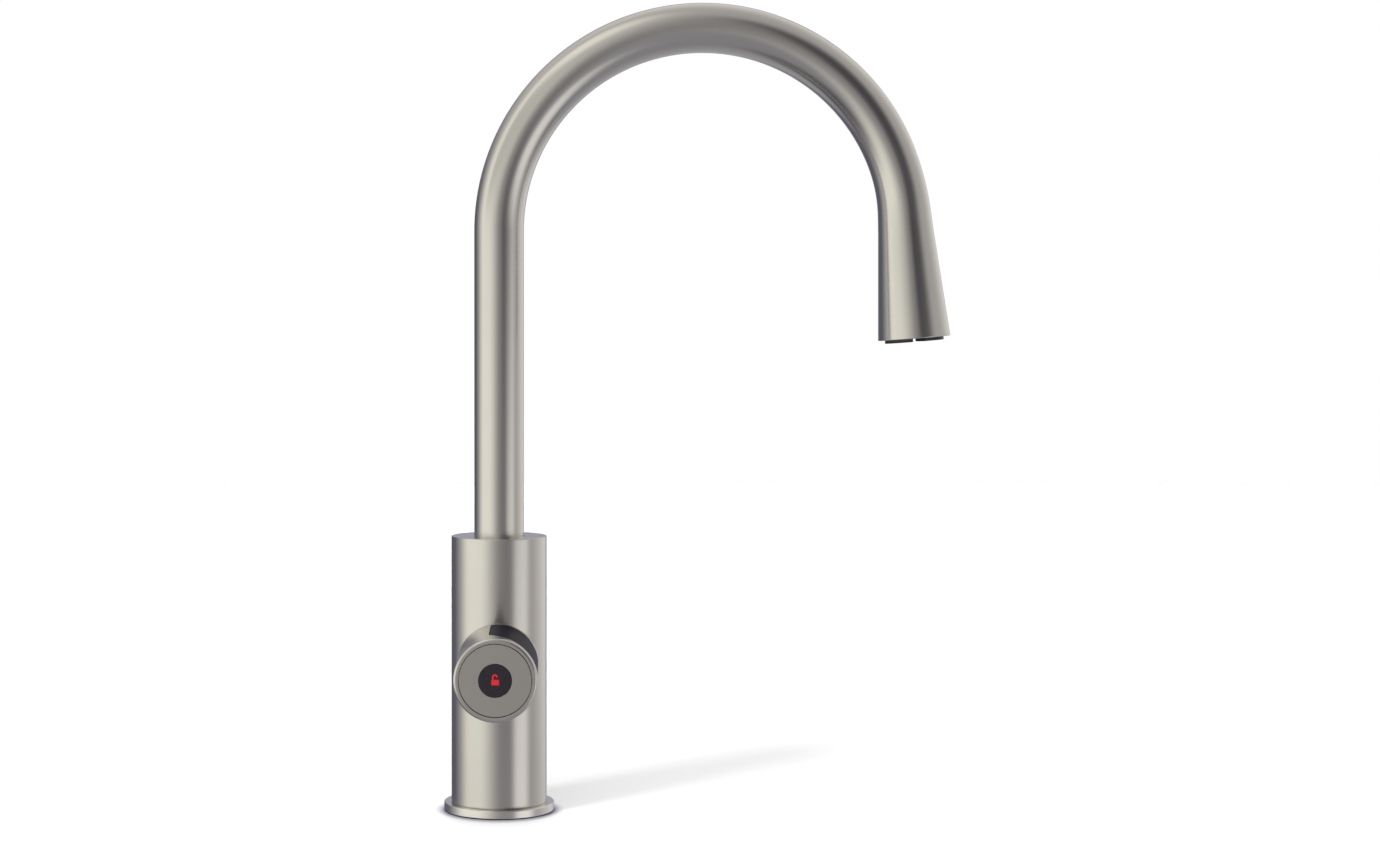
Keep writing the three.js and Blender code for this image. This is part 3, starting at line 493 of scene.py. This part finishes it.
def addGland():
    radius, low, high = gland["head"]
    plugRadius, plugTop = gland["plug"]
    plug = turned("shankGland", [
        (0, low),
        (radius, low, 0.5),
        (radius, high, 0.3),
        (plugRadius, high),
        (plugRadius, plugTop, 0.4),
        (0, plugTop),
    ])
    spots = [offAxis(gland["offset"], a) for a in gland["angles"]]
    way = rodOutline(gland["way"], low - overrun, plugTop + overrun)
    carve(plug, [turned("way", way, 32, spot) for spot in spots])
    smooth(plug, 30)
    dress(plug, "body", "black_plastic", "shank_gland")
    n = nipple
    wide, collarLow, collarTop = n["collar"]
    pitch = (collarLow - n["foot"]) / 2
    barbs = []
    for k in range(2):
        foot = n["foot"] + k * pitch
        barbs += [(n["pipe"], foot, 0.1), (n["pipe"] + n["barb"], foot + pitch - n["barb"], 0.1)]
        barbs += [(n["pipe"], foot + pitch - n["barb"])]
    outline = [(n["bore"], n["foot"])] + barbs + [
        (n["pipe"], collarLow),
        (wide, collarLow, 0.2),
        (wide, collarTop, 0.2),
        (n["pipe"], collarTop),
        (n["pipe"], n["top"]),
        (n["bore"], n["top"]),
    ]
    for name, node, spot in (("boilingNipple", "boiling_inlet", spots[0]),
                             ("coldNipple", "cold_inlet", spots[1])):
        dress(turned(name, outline, 48, spot), "body", "steel", node)
    plugHole = turned("cableSocket", [
        (0, collarTop),
        (n["pipe"], collarTop),
        (n["pipe"], socket["mouth"], 0.2),
        (wide, socket["mouth"], 0.3),
        (wide, collarTop, 0.2),
        (n["pipe"], collarTop + socket["shoulder"]),
        (n["pipe"], n["top"]),
        (0, n["top"]),
    ], 48, spots[2])
    dress(plugHole, "body", "black_plastic", "cable_socket")
    pin = rodOutline(socket["pinRadius"], socket["pinFoot"], collarTop, socket["pinEdge"])
    for k in range(socket["pins"]):
        shift = offAxis(socket["pinCircle"], 2 * math.pi * k / socket["pins"])
        dress(turned(f"contactPin{k + 1}", pin, 16, spots[2] @ shift), "body", "brass")


addColumn()
addFixing()
print("column, base and fixing made")


# the swan neck: a straight riser, the arch, and a tilted tail that flares
neck = {
    "radius": 13,
    "wall": 1.5,
    "foot": 138.1,
    "archFoot": 303.5,
    "archRadius": 106.1,
    "tilt": math.radians(4.66),
    "tail": 64.8,
    "flare": 94.5,
    "ease": 0.45,  # share of the flare that eases in before its straight cone
    "mouth": 18.75,
    "lip": 3.25,
    "lipDepth": 3,
    "lipGap": 0.5,  # from the throat's last ring to the back of the lip
    "lastRing": 1,  # how far the skin's last ring is from the end
    "edge": 0.35,
    "riserSteps": 34,
    "bendSteps": 190,
    "sides": 120,
}
riser = neck["archFoot"] - neck["foot"]
archAngle = math.pi - neck["tilt"]
neckLength = riser + neck["archRadius"] * archAngle + neck["tail"]


def neckAt(s):
    bent = min(max(s - riser, 0), neck["archRadius"] * archAngle)
    turn = bent / neck["archRadius"]
    up = min(s, riser)
    tail = s - up - bent
    x = neck["archRadius"] * (1 - math.cos(turn)) + tail * math.sin(turn)
    z = neck["foot"] + up + neck["archRadius"] * math.sin(turn) + tail * math.cos(turn)
    return x, z, turn


def neckRing(s, radius, sides):
    x, z, turn = neckAt(s)
    ring = []
    for k in range(sides):
        a = 2 * math.pi * k / sides
        across = -radius * math.cos(a)
        ring.append((x + across * math.cos(turn), radius * math.sin(a), z - across * math.sin(turn)))
    return ring


def flaredRadius(s):
    u = min(max((s - neckLength + neck["flare"]) / neck["flare"], 0), 1)
    eased = u * u / (2 * neck["ease"]) if u < neck["ease"] else u - neck["ease"] / 2
    return neck["radius"] + (neck["mouth"] - neck["radius"]) * eased / (1 - neck["ease"] / 2)


def addNeck():
    stations = list(np.linspace(0, riser, neck["riserSteps"]))
    stations += list(np.linspace(riser, neckLength - neck["lastRing"], neck["bendSteps"]))[1:]
    skin = [(flaredRadius(s), s) for s in stations]
    inner = neck["mouth"] - neck["lip"]
    lipBack = neckLength - neck["lipDepth"]
    throat = [(flaredRadius(s) - neck["wall"], s) for s in stations if s < lipBack - neck["lipGap"]]
    lip = rounded([
        skin[-1],
        (neck["mouth"], neckLength, neck["edge"]),
        (inner, neckLength, neck["edge"]),
        (inner, lipBack),
        (flaredRadius(lipBack) - neck["wall"], lipBack),
    ])
    profile = skin[:-1] + lip + throat[::-1]
    tube = gridMesh("swanNeck", [neckRing(s, r, neck["sides"]) for r, s in profile], endlessRows=True)
    weigh(tube)
    dress(tube, "spout", "brushed_nickel", "spout_tube")


addNeck()


# the outlet, in a frame at the neck's end with +Z back up the tail
outlet = {
    "radius": 15.2,
    "inner": 11.8,
    "standOut": 1.75,
    "height": 9,
    "plate": 2.2,
    "groove": (13.6, 4.4, 6.8),
    "slot": 0.9,
    "slotFlare": 0.2,  # how much each side of the slot opens per mm towards the rim
    "nozzle": 3.4,
    "sprays": 6,
    "spray": (1.7, 9.3),  # radius, and distance from the middle
}


def addOutlet():
    o = outlet
    x, z, turn = neckAt(neckLength)
    place = Matrix.Translation((x * mm, 0, z * mm)) @ Matrix.Rotation(-neck["tilt"], 4, "Y")
    floor, low, high = o["groove"]
    cup = turned("outletInsert", [
        (0, -o["standOut"]),
        (o["radius"], -o["standOut"], 0.2),
        (o["radius"], low),
        (floor, low),
        (floor, high),
        (o["radius"], high),
        (o["radius"], o["height"]),
        (o["inner"], o["height"]),
        (o["inner"], o["plate"]),
        (0, o["plate"]),
    ], 120)
    foot, roof = -o["standOut"] - overrun, o["plate"] + overrun
    cutters = [turned("nozzle", rodOutline(o["nozzle"], foot, roof), 48)]
    sprayRadius, sprayOffset = o["spray"]
    for k in range(o["sprays"]):
        shift = offAxis(sprayOffset, 2 * math.pi * k / o["sprays"])
        cutters.append(turned("spray", rodOutline(sprayRadius, foot, roof), 32, shift))
    half, long = o["slot"] / 2, o["radius"] + overrun
    wide = half + long * o["slotFlare"]
    slotRows = [[(-x, y, foot), (x, y, foot), (x, y, 0), (-x, y, 0)] for x, y in
                ((wide, -long), (half, 0), (wide, long))]
    cutters.append(gridMesh("slot", slotRows, caps=True))
    carve(cup, cutters)
    cup.data.transform(place)
    smooth(cup, 30)
    dress(cup, "spout", "black_plastic", "outlet_insert")


addOutlet()
print("swan neck and outlet made")


# the control barrel, in a frame with +Z out along its axis and +Y up
barrel = {
    "radius": 20.8,
    "bore": 18.25,
    "height": 79.65,
    "reach": 82.9,
    "rim": 1.4,
    "bulkhead": 32,
    "stubHole": 9.3,
    "cope": 25.3,
}
panel = {
    "middle": math.radians(50),
    "halfAngle": math.radians(50),
    "back": 26.5,
    "front": 78,
    "bow": 1.9,  # what the front end's radius has over half the width
    "corner": 1.5,
    "gap": 0.25,
    "recess": 0.2,
    "edge": 0.35,
    "cut": (16.9, 22),  # radii that the window's cutter runs between
    "cornerSteps": 9,
    "acrossSteps": 81,
    "edgeSteps": 6,
    "alongSteps": 24,
}
button = {
    "bore": 8.35,
    "radius": 17.9,
    "sink": 0.2,
    "plate": 1.8,
    "skirt": 8.8,
    "skirtInner": 16.7,
    "lens": 8.2,
    "lensRim": (10, 3.3, 2.1),
}
barrelPlace = Matrix.Translation((0, 0, barrel["height"] * mm)) @ Matrix.Rotation(math.pi / 2, 4, "X")
frontPlace = barrelPlace @ Matrix.Translation((0, 0, barrel["reach"] * mm))


def panelSpan(s, margin):
    # the panel's straight back and bowed front at a distance s from its middle line, along the skin
    half = barrel["radius"] * panel["halfAngle"] - margin
    bow = barrel["radius"] * panel["halfAngle"] + panel["bow"] - margin
    corner = panel["corner"] - margin
    into = max(0, abs(s) - (half - corner))
    drawn = corner - math.sqrt(max(0, corner * corner - into * into))
    front = panel["front"] - panel["bow"] - barrel["radius"] * panel["halfAngle"]
    return panel["back"] + margin + drawn, front + math.sqrt(max(0, bow * bow - s * s)) - drawn


def panelRows(margin):
    half = barrel["radius"] * panel["halfAngle"] - margin
    corner = panel["corner"] - margin
    ends = [corner * (1 - math.cos(t)) for t in np.linspace(0, math.pi / 2, panel["cornerSteps"])]
    middle = list(np.linspace(corner - half, half - corner, panel["acrossSteps"]))[1:-1]
    return [e - half for e in ends] + middle + [half - e for e in reversed(ends)]


def onBarrel(radius, s, z):
    a = panel["middle"] + s / barrel["radius"]
    return (radius * math.cos(a), radius * math.sin(a), z)


def windowCutter():
    inner, outer = panel["cut"]
    rows = []
    for s in panelRows(0):
        low, high = panelSpan(s, 0)
        corners = ((inner, low), (outer, low), (outer, high), (inner, high))
        rows.append([onBarrel(r, s, z) for r, z in corners])
    return gridMesh("window", rows, caps=True)


def exactNormals(piece):
    # the barrel's skin, rim and bore get the normals of the true round form
    axis, rim, bore = barrel["radius"] * mm, barrel["rim"] * mm, barrel["bore"] * mm
    rimHeight = barrel["reach"] * mm - rim
    facing = 0.97  # how squarely a face of the skin or bore looks out or in
    close = 0.02 * mm  # how near its corners lie to the true radius
    slack = 0.001 * mm  # the same for the rim's corners
    turnedAway = -0.01  # past this, a face at the rim isn't the rim's own
    mesh = piece.data
    normals = []
    for face in mesh.polygons:
        for corner in face.vertices:
            p = mesh.vertices[corner].co
            out = Vector((p.x, p.y, 0)).normalized()
            along = face.normal.dot(out)
            far = math.hypot(p.x, p.y)
            normal = face.normal.copy()
            onRim = p.z > rimHeight - slack and far > axis - rim - slack
            if abs(along) > facing and (abs(far - axis) < close or abs(far - bore) < close):
                normal = out if along > 0 else -out
            elif onRim and face.normal.z > turnedAway and along > turnedAway:
                centre = out * (axis - rim) + Vector((0, 0, rimHeight))
                normal = (p - centre).normalized()
            normals.append(normal)
    mesh.shade_smooth()
    mesh.normals_split_custom_set(normals)


def addBarrel():
    b = barrel
    shell = turned("controlBarrel", [
        (b["stubHole"], 0),
        (b["radius"], 0),
        (b["radius"], b["reach"], b["rim"]),
        (b["bore"], b["reach"]),
        (b["bore"], b["bulkhead"]),
        (b["stubHole"], b["bulkhead"]),
    ], 192, steps=10)
    side = b["radius"] + 2 * overrun
    cope = turned("cope", rodOutline(b["cope"], -side, side), 192)
    cope.data.transform(Matrix.Rotation(math.pi / 2, 4, "X"))
    carve(shell, [cope, windowCutter()])
    exactNormals(shell)
    shell.data.transform(barrelPlace)
    dress(shell, "body", "brushed_nickel", "barrel_shell")


def addPanel():
    edge = panel["edge"]
    insets = [edge * (1 - math.cos(t)) for t in np.linspace(0, math.pi / 2, panel["edgeSteps"])]
    top = barrel["radius"] - panel["recess"]
    rowsAt = panelRows(panel["gap"])
    half = -rowsAt[0]

    def drop(distance):  # how far the surface falls away at this distance from its edge
        inside = min(max(edge - distance, 0), edge)
        return edge - math.sqrt(edge * edge - inside * inside)

    first = sorted(set([round(-half + d, 6) for d in insets] + rowsAt + [round(half - d, 6) for d in insets]))
    rows = []
    for s in first:
        low, high = panelSpan(s, panel["gap"])
        places = [low + d for d in insets]
        places += list(np.linspace(low + edge, high - edge, panel["alongSteps"]))[1:-1]
        places += [high - d for d in reversed(insets)]
        side = half - abs(s)
        skin = [onBarrel(top - drop(min(side, z - low, high - z)), s, z) for z in places]
        rows.append(skin + [onBarrel(barrel["bore"], s, high), onBarrel(barrel["bore"], s, low)])
    tile = gridMesh("touchPanel", rows, caps=True, sharp=40)
    tile.data.transform(barrelPlace)
    weigh(tile)
    dress(tile, "body", "black_glass", "touch_panel")


def addButton():
    b = button
    face = turned("buttonFace", [
        (b["bore"], -b["plate"]),
        (b["skirtInner"], -b["plate"]),
        (b["skirtInner"], -b["skirt"]),
        (b["radius"], -b["skirt"]),
        (b["radius"], -b["sink"], 0.1),
        (b["bore"], -b["sink"], 0.12),
    ], 160, frontPlace)
    weigh(face)
    dress(face, "button", "nickel_face", "button_face")
    wide, back, shoulder = b["lensRim"]
    lens = turned("lockLens", [
        (0, -back),
        (wide, -back),
        (wide, -shoulder),
        (b["lens"], -shoulder),
        (b["lens"], -b["sink"], 0.12),
        (0, -b["sink"]),
    ], 120, frontPlace)
    weigh(lens)
    dress(lens, "button", "lens_black", "lock_lens")


# the open padlock, in mm from the lens's middle with +y up
sign = {
    "body": (-1.82, -2.15, 1.95, 0.5),
    "corner": 0.35,
    "bow": (-0.08, 1.85, 1.04),  # middle and radius of the shackle's centreline
    "stroke": 0.78,
    "sunk": 0.3,  # how deep the shackle's leg stands in the body
    "openEnd": math.radians(-5),
    "steps": 25,
    "heights": (-0.3, -0.17),
}


def addSign():
    x0, y0, x1, y1 = sign["body"]
    low, high = sign["heights"]
    c = sign["corner"]
    outline = rounded([(x0, y0, c), (x1, y0, c), (x1, y1, c), (x0, y1, c)])
    block = gridMesh("lockSign", [[(x, y, z) for x, y in outline] for z in (low, high)], caps=True)
    cx, cy, r = sign["bow"]
    path = [(cx - r, y1 - sign["sunk"]), (cx - r, cy)]
    turns = np.linspace(math.pi, sign["openEnd"], sign["steps"])[1:]
    path += [(cx + r * math.cos(t), cy + r * math.sin(t)) for t in turns]
    rows = []
    for i, (x, y) in enumerate(path):
        ahead = Vector(path[min(i + 1, len(path) - 1)]) - Vector(path[max(i - 1, 0)])
        side = Vector((-ahead.y, ahead.x)).normalized() * sign["stroke"] / 2
        rows.append([(x - side.x, y - side.y, low), (x + side.x, y + side.y, low),
                     (x + side.x, y + side.y, high), (x - side.x, y - side.y, high)])
    shackle = gridMesh("lockShackle", rows, caps=True)
    for part in (block, shackle):
        part.data.transform(frontPlace)
        dress(part, "button", "lens_black", material=signFinish)


spring = {
    "radius": 10.6,
    "wire": 0.6,  # radius
    "turns": 3,
    "perTurn": 48,
    "sides": 12,
    "ends": (72.3, 77.0),
    "fixedEnd": -71.7,
    "travel": 1.0,
}


def addSpring():
    rows = []
    steps = spring["turns"] * spring["perTurn"]
    low, high = spring["ends"]
    for i in range(steps + 1):
        a = 2 * math.pi * i / spring["perTurn"]
        z = low + (high - low) * i / steps
        ring = []
        for k in range(spring["sides"]):
            t = 2 * math.pi * k / spring["sides"]
            r = spring["radius"] + spring["wire"] * math.cos(t)
            ring.append((r * math.cos(a), r * math.sin(a), z + spring["wire"] * math.sin(t)))
        rows.append(ring)
    coil = gridMesh("returnSpring", rows, caps=True)
    coil.data.transform(barrelPlace)
    dress(coil, "body", "steel", "button_spring")
    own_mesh(coil)


addBarrel()
addPanel()
addButton()
addSign()
addSpring()
print("control barrel, panel and button made")


# pieces that keep their CAD shape, each in its own finish
for entry in frame["record"]["subparts"]:
    node = frame["nodes"][entry["node"]]
    if not node.hide_render:
        node.data.materials.clear()
        node.data.materials.append(finishes[entry["material_slot"]])
print("inner pieces finished")


# the floor, the background and the light
studio = {
    "floorHalf": 2700,  # mm, so that its corners stay inside the dome
    "floorShare": 0.65,  # the floor's own reflectance, which holds the shadow
    "paintedShadeReach": 6,  # mm, how far round its foot the tap darkens the floor's paint: painted shade
    # painted shade: how open a spot of the floor is to the room, and the floor's painted tone there
    "paintedShadeTones": ((0.25, "#000000"), (0.62, "#B0B0C0"), (0.8, "#DADAE4"), (0.97, "#FFFFFF")),
    "roomLevel": 0.5,  # of the room's light on things, against 1 where it is seen or mirrored
    "domeRadius": 4000,
    "domeMiddle": (60, 0, 200),
    "domeSteps": 32,
    "domeSides": 64,
    # the dome above the horizon: how far round from the front, -Y, to the back, level, and blue's share of it
    "roomTones": ((0.0, 0.29, 1), (0.1, 0.35, 1), (0.25, 0.46, 1), (0.5, 0.54, 0.95), (0.8, 0.84, 0.95),
                  (0.94, 0.93, 0.95)),
    "roomGreen": 0.965,
    # the dome below it: how far round, and level
    "groundTones": ((0.5, 0.33), (0.95, 0.5)),
    "groundTint": (0.97, 0.945, 1.04),
    "horizon": (-30.0, -2.0),  # degrees of elevation that the one passes into the other between
}
# what the metal mirrors: soft panels and dark flags round the tap, in degrees of azimuth from the front, -Y,
# towards +X and of elevation. Each fades in and out between its first two and its last two numbers.
mirrored = [
    {"name": "leftSoftbox", "azimuth": (-115, -73, -50, 8), "elevation": (-34, -10, 62, 88),
     "colour": "#FFFDF5", "level": 1.14},
    {"name": "leftScrim", "azimuth": (-80, -62, -30, 4), "elevation": (3, 17, 40, 54),
     "colour": "#FFFDF8", "level": 0.66},
    {"name": "leftFloorFlag", "azimuth": (-128, -112, -74, -40), "elevation": (-84, -64, -40, -12),
     "colour": "#F4F0FF", "level": 0.12},
    {"name": "rightSoftbox", "azimuth": (27, 46, 62, 86), "elevation": (-52, -28, -6, 10),
     "colour": "#FFFCFB", "level": 1.0},
    {"name": "rightFlag", "azimuth": (6, 19, 38, 70), "elevation": (-12, 12, 34, 60),
     "colour": "#F6F0FF", "level": 0.07},
    {"name": "leftBackFlag", "azimuth": (-181, -168, -134, -84), "elevation": (-38, -20, 4, 60),
     "colour": "#E2E4FF", "level": 0.165},
    {"name": "backFlag", "azimuth": (142, 162, 180.5, 181), "elevation": (-24, -12, 26, 44),
     "colour": "#EDEDFF", "level": 0.49},
    {"name": "backFlagLeft", "azimuth": (-181, -180.5, -172, -162), "elevation": (-24, -12, 26, 44),
     "colour": "#EDEDFF", "level": 0.47},
]
# each lamp's shadow is cast by the named pieces alone, as in the photograph: the column's long soft patch,
# and the narrow soft edge that the flange leaves in front. The fill and the back light fall on the floor
# alone, and the key, which names nothing in lights, on everything.
lamps = [
    {"name": "key", "way": (0.71, 0.7, -0.54), "strength": 1.95, "softness": 12,
     "casters": ("columnBody", "baseFlange"), "lights": ()},
    {"name": "floorFill", "way": (0.25, 0.97, -0.39), "strength": 2.1, "softness": 56,
     "casters": ("columnBody", "baseFlange"), "lights": ("floor",)},
    {"name": "backLight", "way": (0, -0.9, -0.43), "strength": 4.7, "softness": 34,
     "casters": ("baseFlange",), "lights": ("floor",)},
]


def steppedUp(tree, value, low, high):
    return addNode(tree, "MapRange", {"Value": value, "From Min": low, "From Max": high},
                   interpolation_type="SMOOTHSTEP", clamp=True).outputs[0]


def product(tree, *values):
    result = values[0]
    for value in values[1:]:
        result = addNode(tree, "Math", {0: result, 1: value}, operation="MULTIPLY").outputs[0]
    return result


def tonedRamp(tree, factor, stops):
    # a colour ramp through the given places and colours
    toned = addNode(tree, "ValToRGB", {0: factor})
    for i, (spot, colour) in enumerate(stops):
        stop = toned.color_ramp.elements[i] if i < 2 else toned.color_ramp.elements.new(spot)
        stop.position = spot
        stop.color = colour
    return toned.outputs[0]


def bareMaterial(piece):
    material = bpy.data.materials.new(piece.name)
    material.use_nodes = True
    material.node_tree.nodes.clear()
    piece.data.materials.append(material)
    return material.node_tree


def addDome():
    radius, steps = studio["domeRadius"], studio["domeSteps"]
    arc = [math.pi * (k / steps - 0.5) for k in range(steps + 1)]
    outline = [(radius * math.cos(t), radius * math.sin(t)) for t in arc]
    dome = turned("studioDome", outline, studio["domeSides"])
    dome.location = [c * mm for c in studio["domeMiddle"]]
    tree = bareMaterial(dome)
    place = addNode(tree, "TexCoord")
    way = addNode(tree, "VectorMath", {0: place.outputs["Object"]}, operation="NORMALIZE")
    axes = addNode(tree, "SeparateXYZ", {0: way.outputs[0]})
    front = addNode(tree, "Math", {0: axes.outputs[1], 1: -1.0}, operation="MULTIPLY").outputs[0]
    turn = addNode(tree, "Math", {0: axes.outputs[0], 1: front}, operation="ARCTAN2").outputs[0]
    azimuth = addNode(tree, "Math", {0: turn}, operation="DEGREES").outputs[0]
    rise = addNode(tree, "Math", {0: axes.outputs[2]}, operation="ARCSINE").outputs[0]
    elevation = addNode(tree, "Math", {0: rise}, operation="DEGREES").outputs[0]
    rearward = addNode(tree, "MapRange", {"Value": front, "From Min": 1.0, "From Max": -1.0}).outputs[0]
    green, tint = studio["roomGreen"], studio["groundTint"]
    roomStops = [(spot, (v, v * green, v * blue, 1)) for spot, v, blue in studio["roomTones"]]
    groundStops = [(spot, [v * share for share in tint] + [1]) for spot, v in studio["groundTones"]]
    room = tonedRamp(tree, rearward, roomStops)
    ground = tonedRamp(tree, rearward, groundStops)
    above = steppedUp(tree, elevation, *studio["horizon"])
    mixed = addNode(tree, "Mix", {"Factor": above, 6: ground, 7: room}, data_type="RGBA").outputs[2]
    for card in mirrored:
        a0, a1, a2, a3 = card["azimuth"]
        e0, e1, e2, e3 = card["elevation"]
        mask = product(tree, steppedUp(tree, azimuth, a0, a1), steppedUp(tree, azimuth, a3, a2),
                       steppedUp(tree, elevation, e0, e1), steppedUp(tree, elevation, e3, e2))
        colour = [c * card["level"] for c in linear(card["colour"])[:3]] + [1]
        mixed = addNode(tree, "Mix", {"Factor": mask, 6: mixed, 7: colour}, data_type="RGBA").outputs[2]
    glow = addNode(tree, "Emission", {"Color": mixed, "Strength": 1.0})
    addNode(tree, "OutputMaterial", {0: glow.outputs[0]})
    for kind in ("camera", "diffuse", "transmission", "volume_scatter", "shadow"):
        setattr(dome, "visible_" + kind, False)


def seenRay(tree):
    # 1 for a ray from the camera, a mirror or a clear piece, 0 for the light that falls on things
    path = addNode(tree, "LightPath")
    either = addNode(tree, "Math", {0: path.outputs["Is Camera Ray"], 1: path.outputs["Is Glossy Ray"]},
                     operation="MAXIMUM")
    return addNode(tree, "Math", {0: either.outputs[0], 1: path.outputs["Is Transmission Ray"]},
                   operation="MAXIMUM").outputs[0]


def addFloor():
    half = studio["floorHalf"]
    floor = gridMesh("floor", [[(-half, y, 0), (half, y, 0)] for y in (-half, half)], endlessColumns=False)
    tree = bareMaterial(floor)
    # painted shade: where the tap shuts the floor in, the floor's paint is darker too, so that the narrow gap
    # under the flange shows
    shut = addNode(tree, "AmbientOcclusion", {"Distance": studio["paintedShadeReach"] * mm}, samples=16)
    tones = [(spot, linear(tone)) for spot, tone in studio["paintedShadeTones"]]
    # the ramp turns that openness into painted shade on the floor's colour
    near = tonedRamp(tree, shut.outputs["AO"], tones)
    share = studio["floorShare"]
    paint = addNode(tree, "Mix", {"Factor": 1.0, 6: near, 7: (share, share, share, 1)},
                    data_type="RGBA", blend_type="MULTIPLY").outputs[2]
    matt = addNode(tree, "BsdfDiffuse", {"Color": paint})
    addNode(tree, "OutputMaterial", {0: matt.outputs[0]})
    floor.visible_glossy = False


def addRoom():
    world = bpy.data.worlds.new("room")
    scene.world = world
    world.use_nodes = True
    tree = world.node_tree
    tree.nodes.clear()
    level = addNode(tree, "MapRange", {"Value": seenRay(tree), "To Min": studio["roomLevel"], "To Max": 1.0})
    light = addNode(tree, "Background", {"Color": (1, 1, 1, 1), "Strength": level.outputs[0]})
    addNode(tree, "OutputWorld", {0: light.outputs[0]})


def gathered(name, pieces):
    group = bpy.data.collections.new(name)
    for piece in pieces:
        group.objects.link(bpy.data.objects[piece])
    return group


def addLamps():
    for spec in lamps:
        lamp = bpy.data.objects.new(spec["name"], bpy.data.lights.new(spec["name"], "SUN"))
        scene.collection.objects.link(lamp)
        lamp.data.energy = spec["strength"]
        lamp.data.angle = math.radians(spec["softness"])
        lamp.visible_glossy = False
        lamp.rotation_euler = Vector(spec["way"]).to_track_quat("-Z", "Y").to_euler()
        lamp.light_linking.blocker_collection = gathered(spec["name"] + "Casters", spec["casters"])
        if spec["lights"]:
            lamp.light_linking.receiver_collection = gathered(spec["name"] + "Lights", spec["lights"])


addDome()
addFloor()
addRoom()
addLamps()
print("studio made")
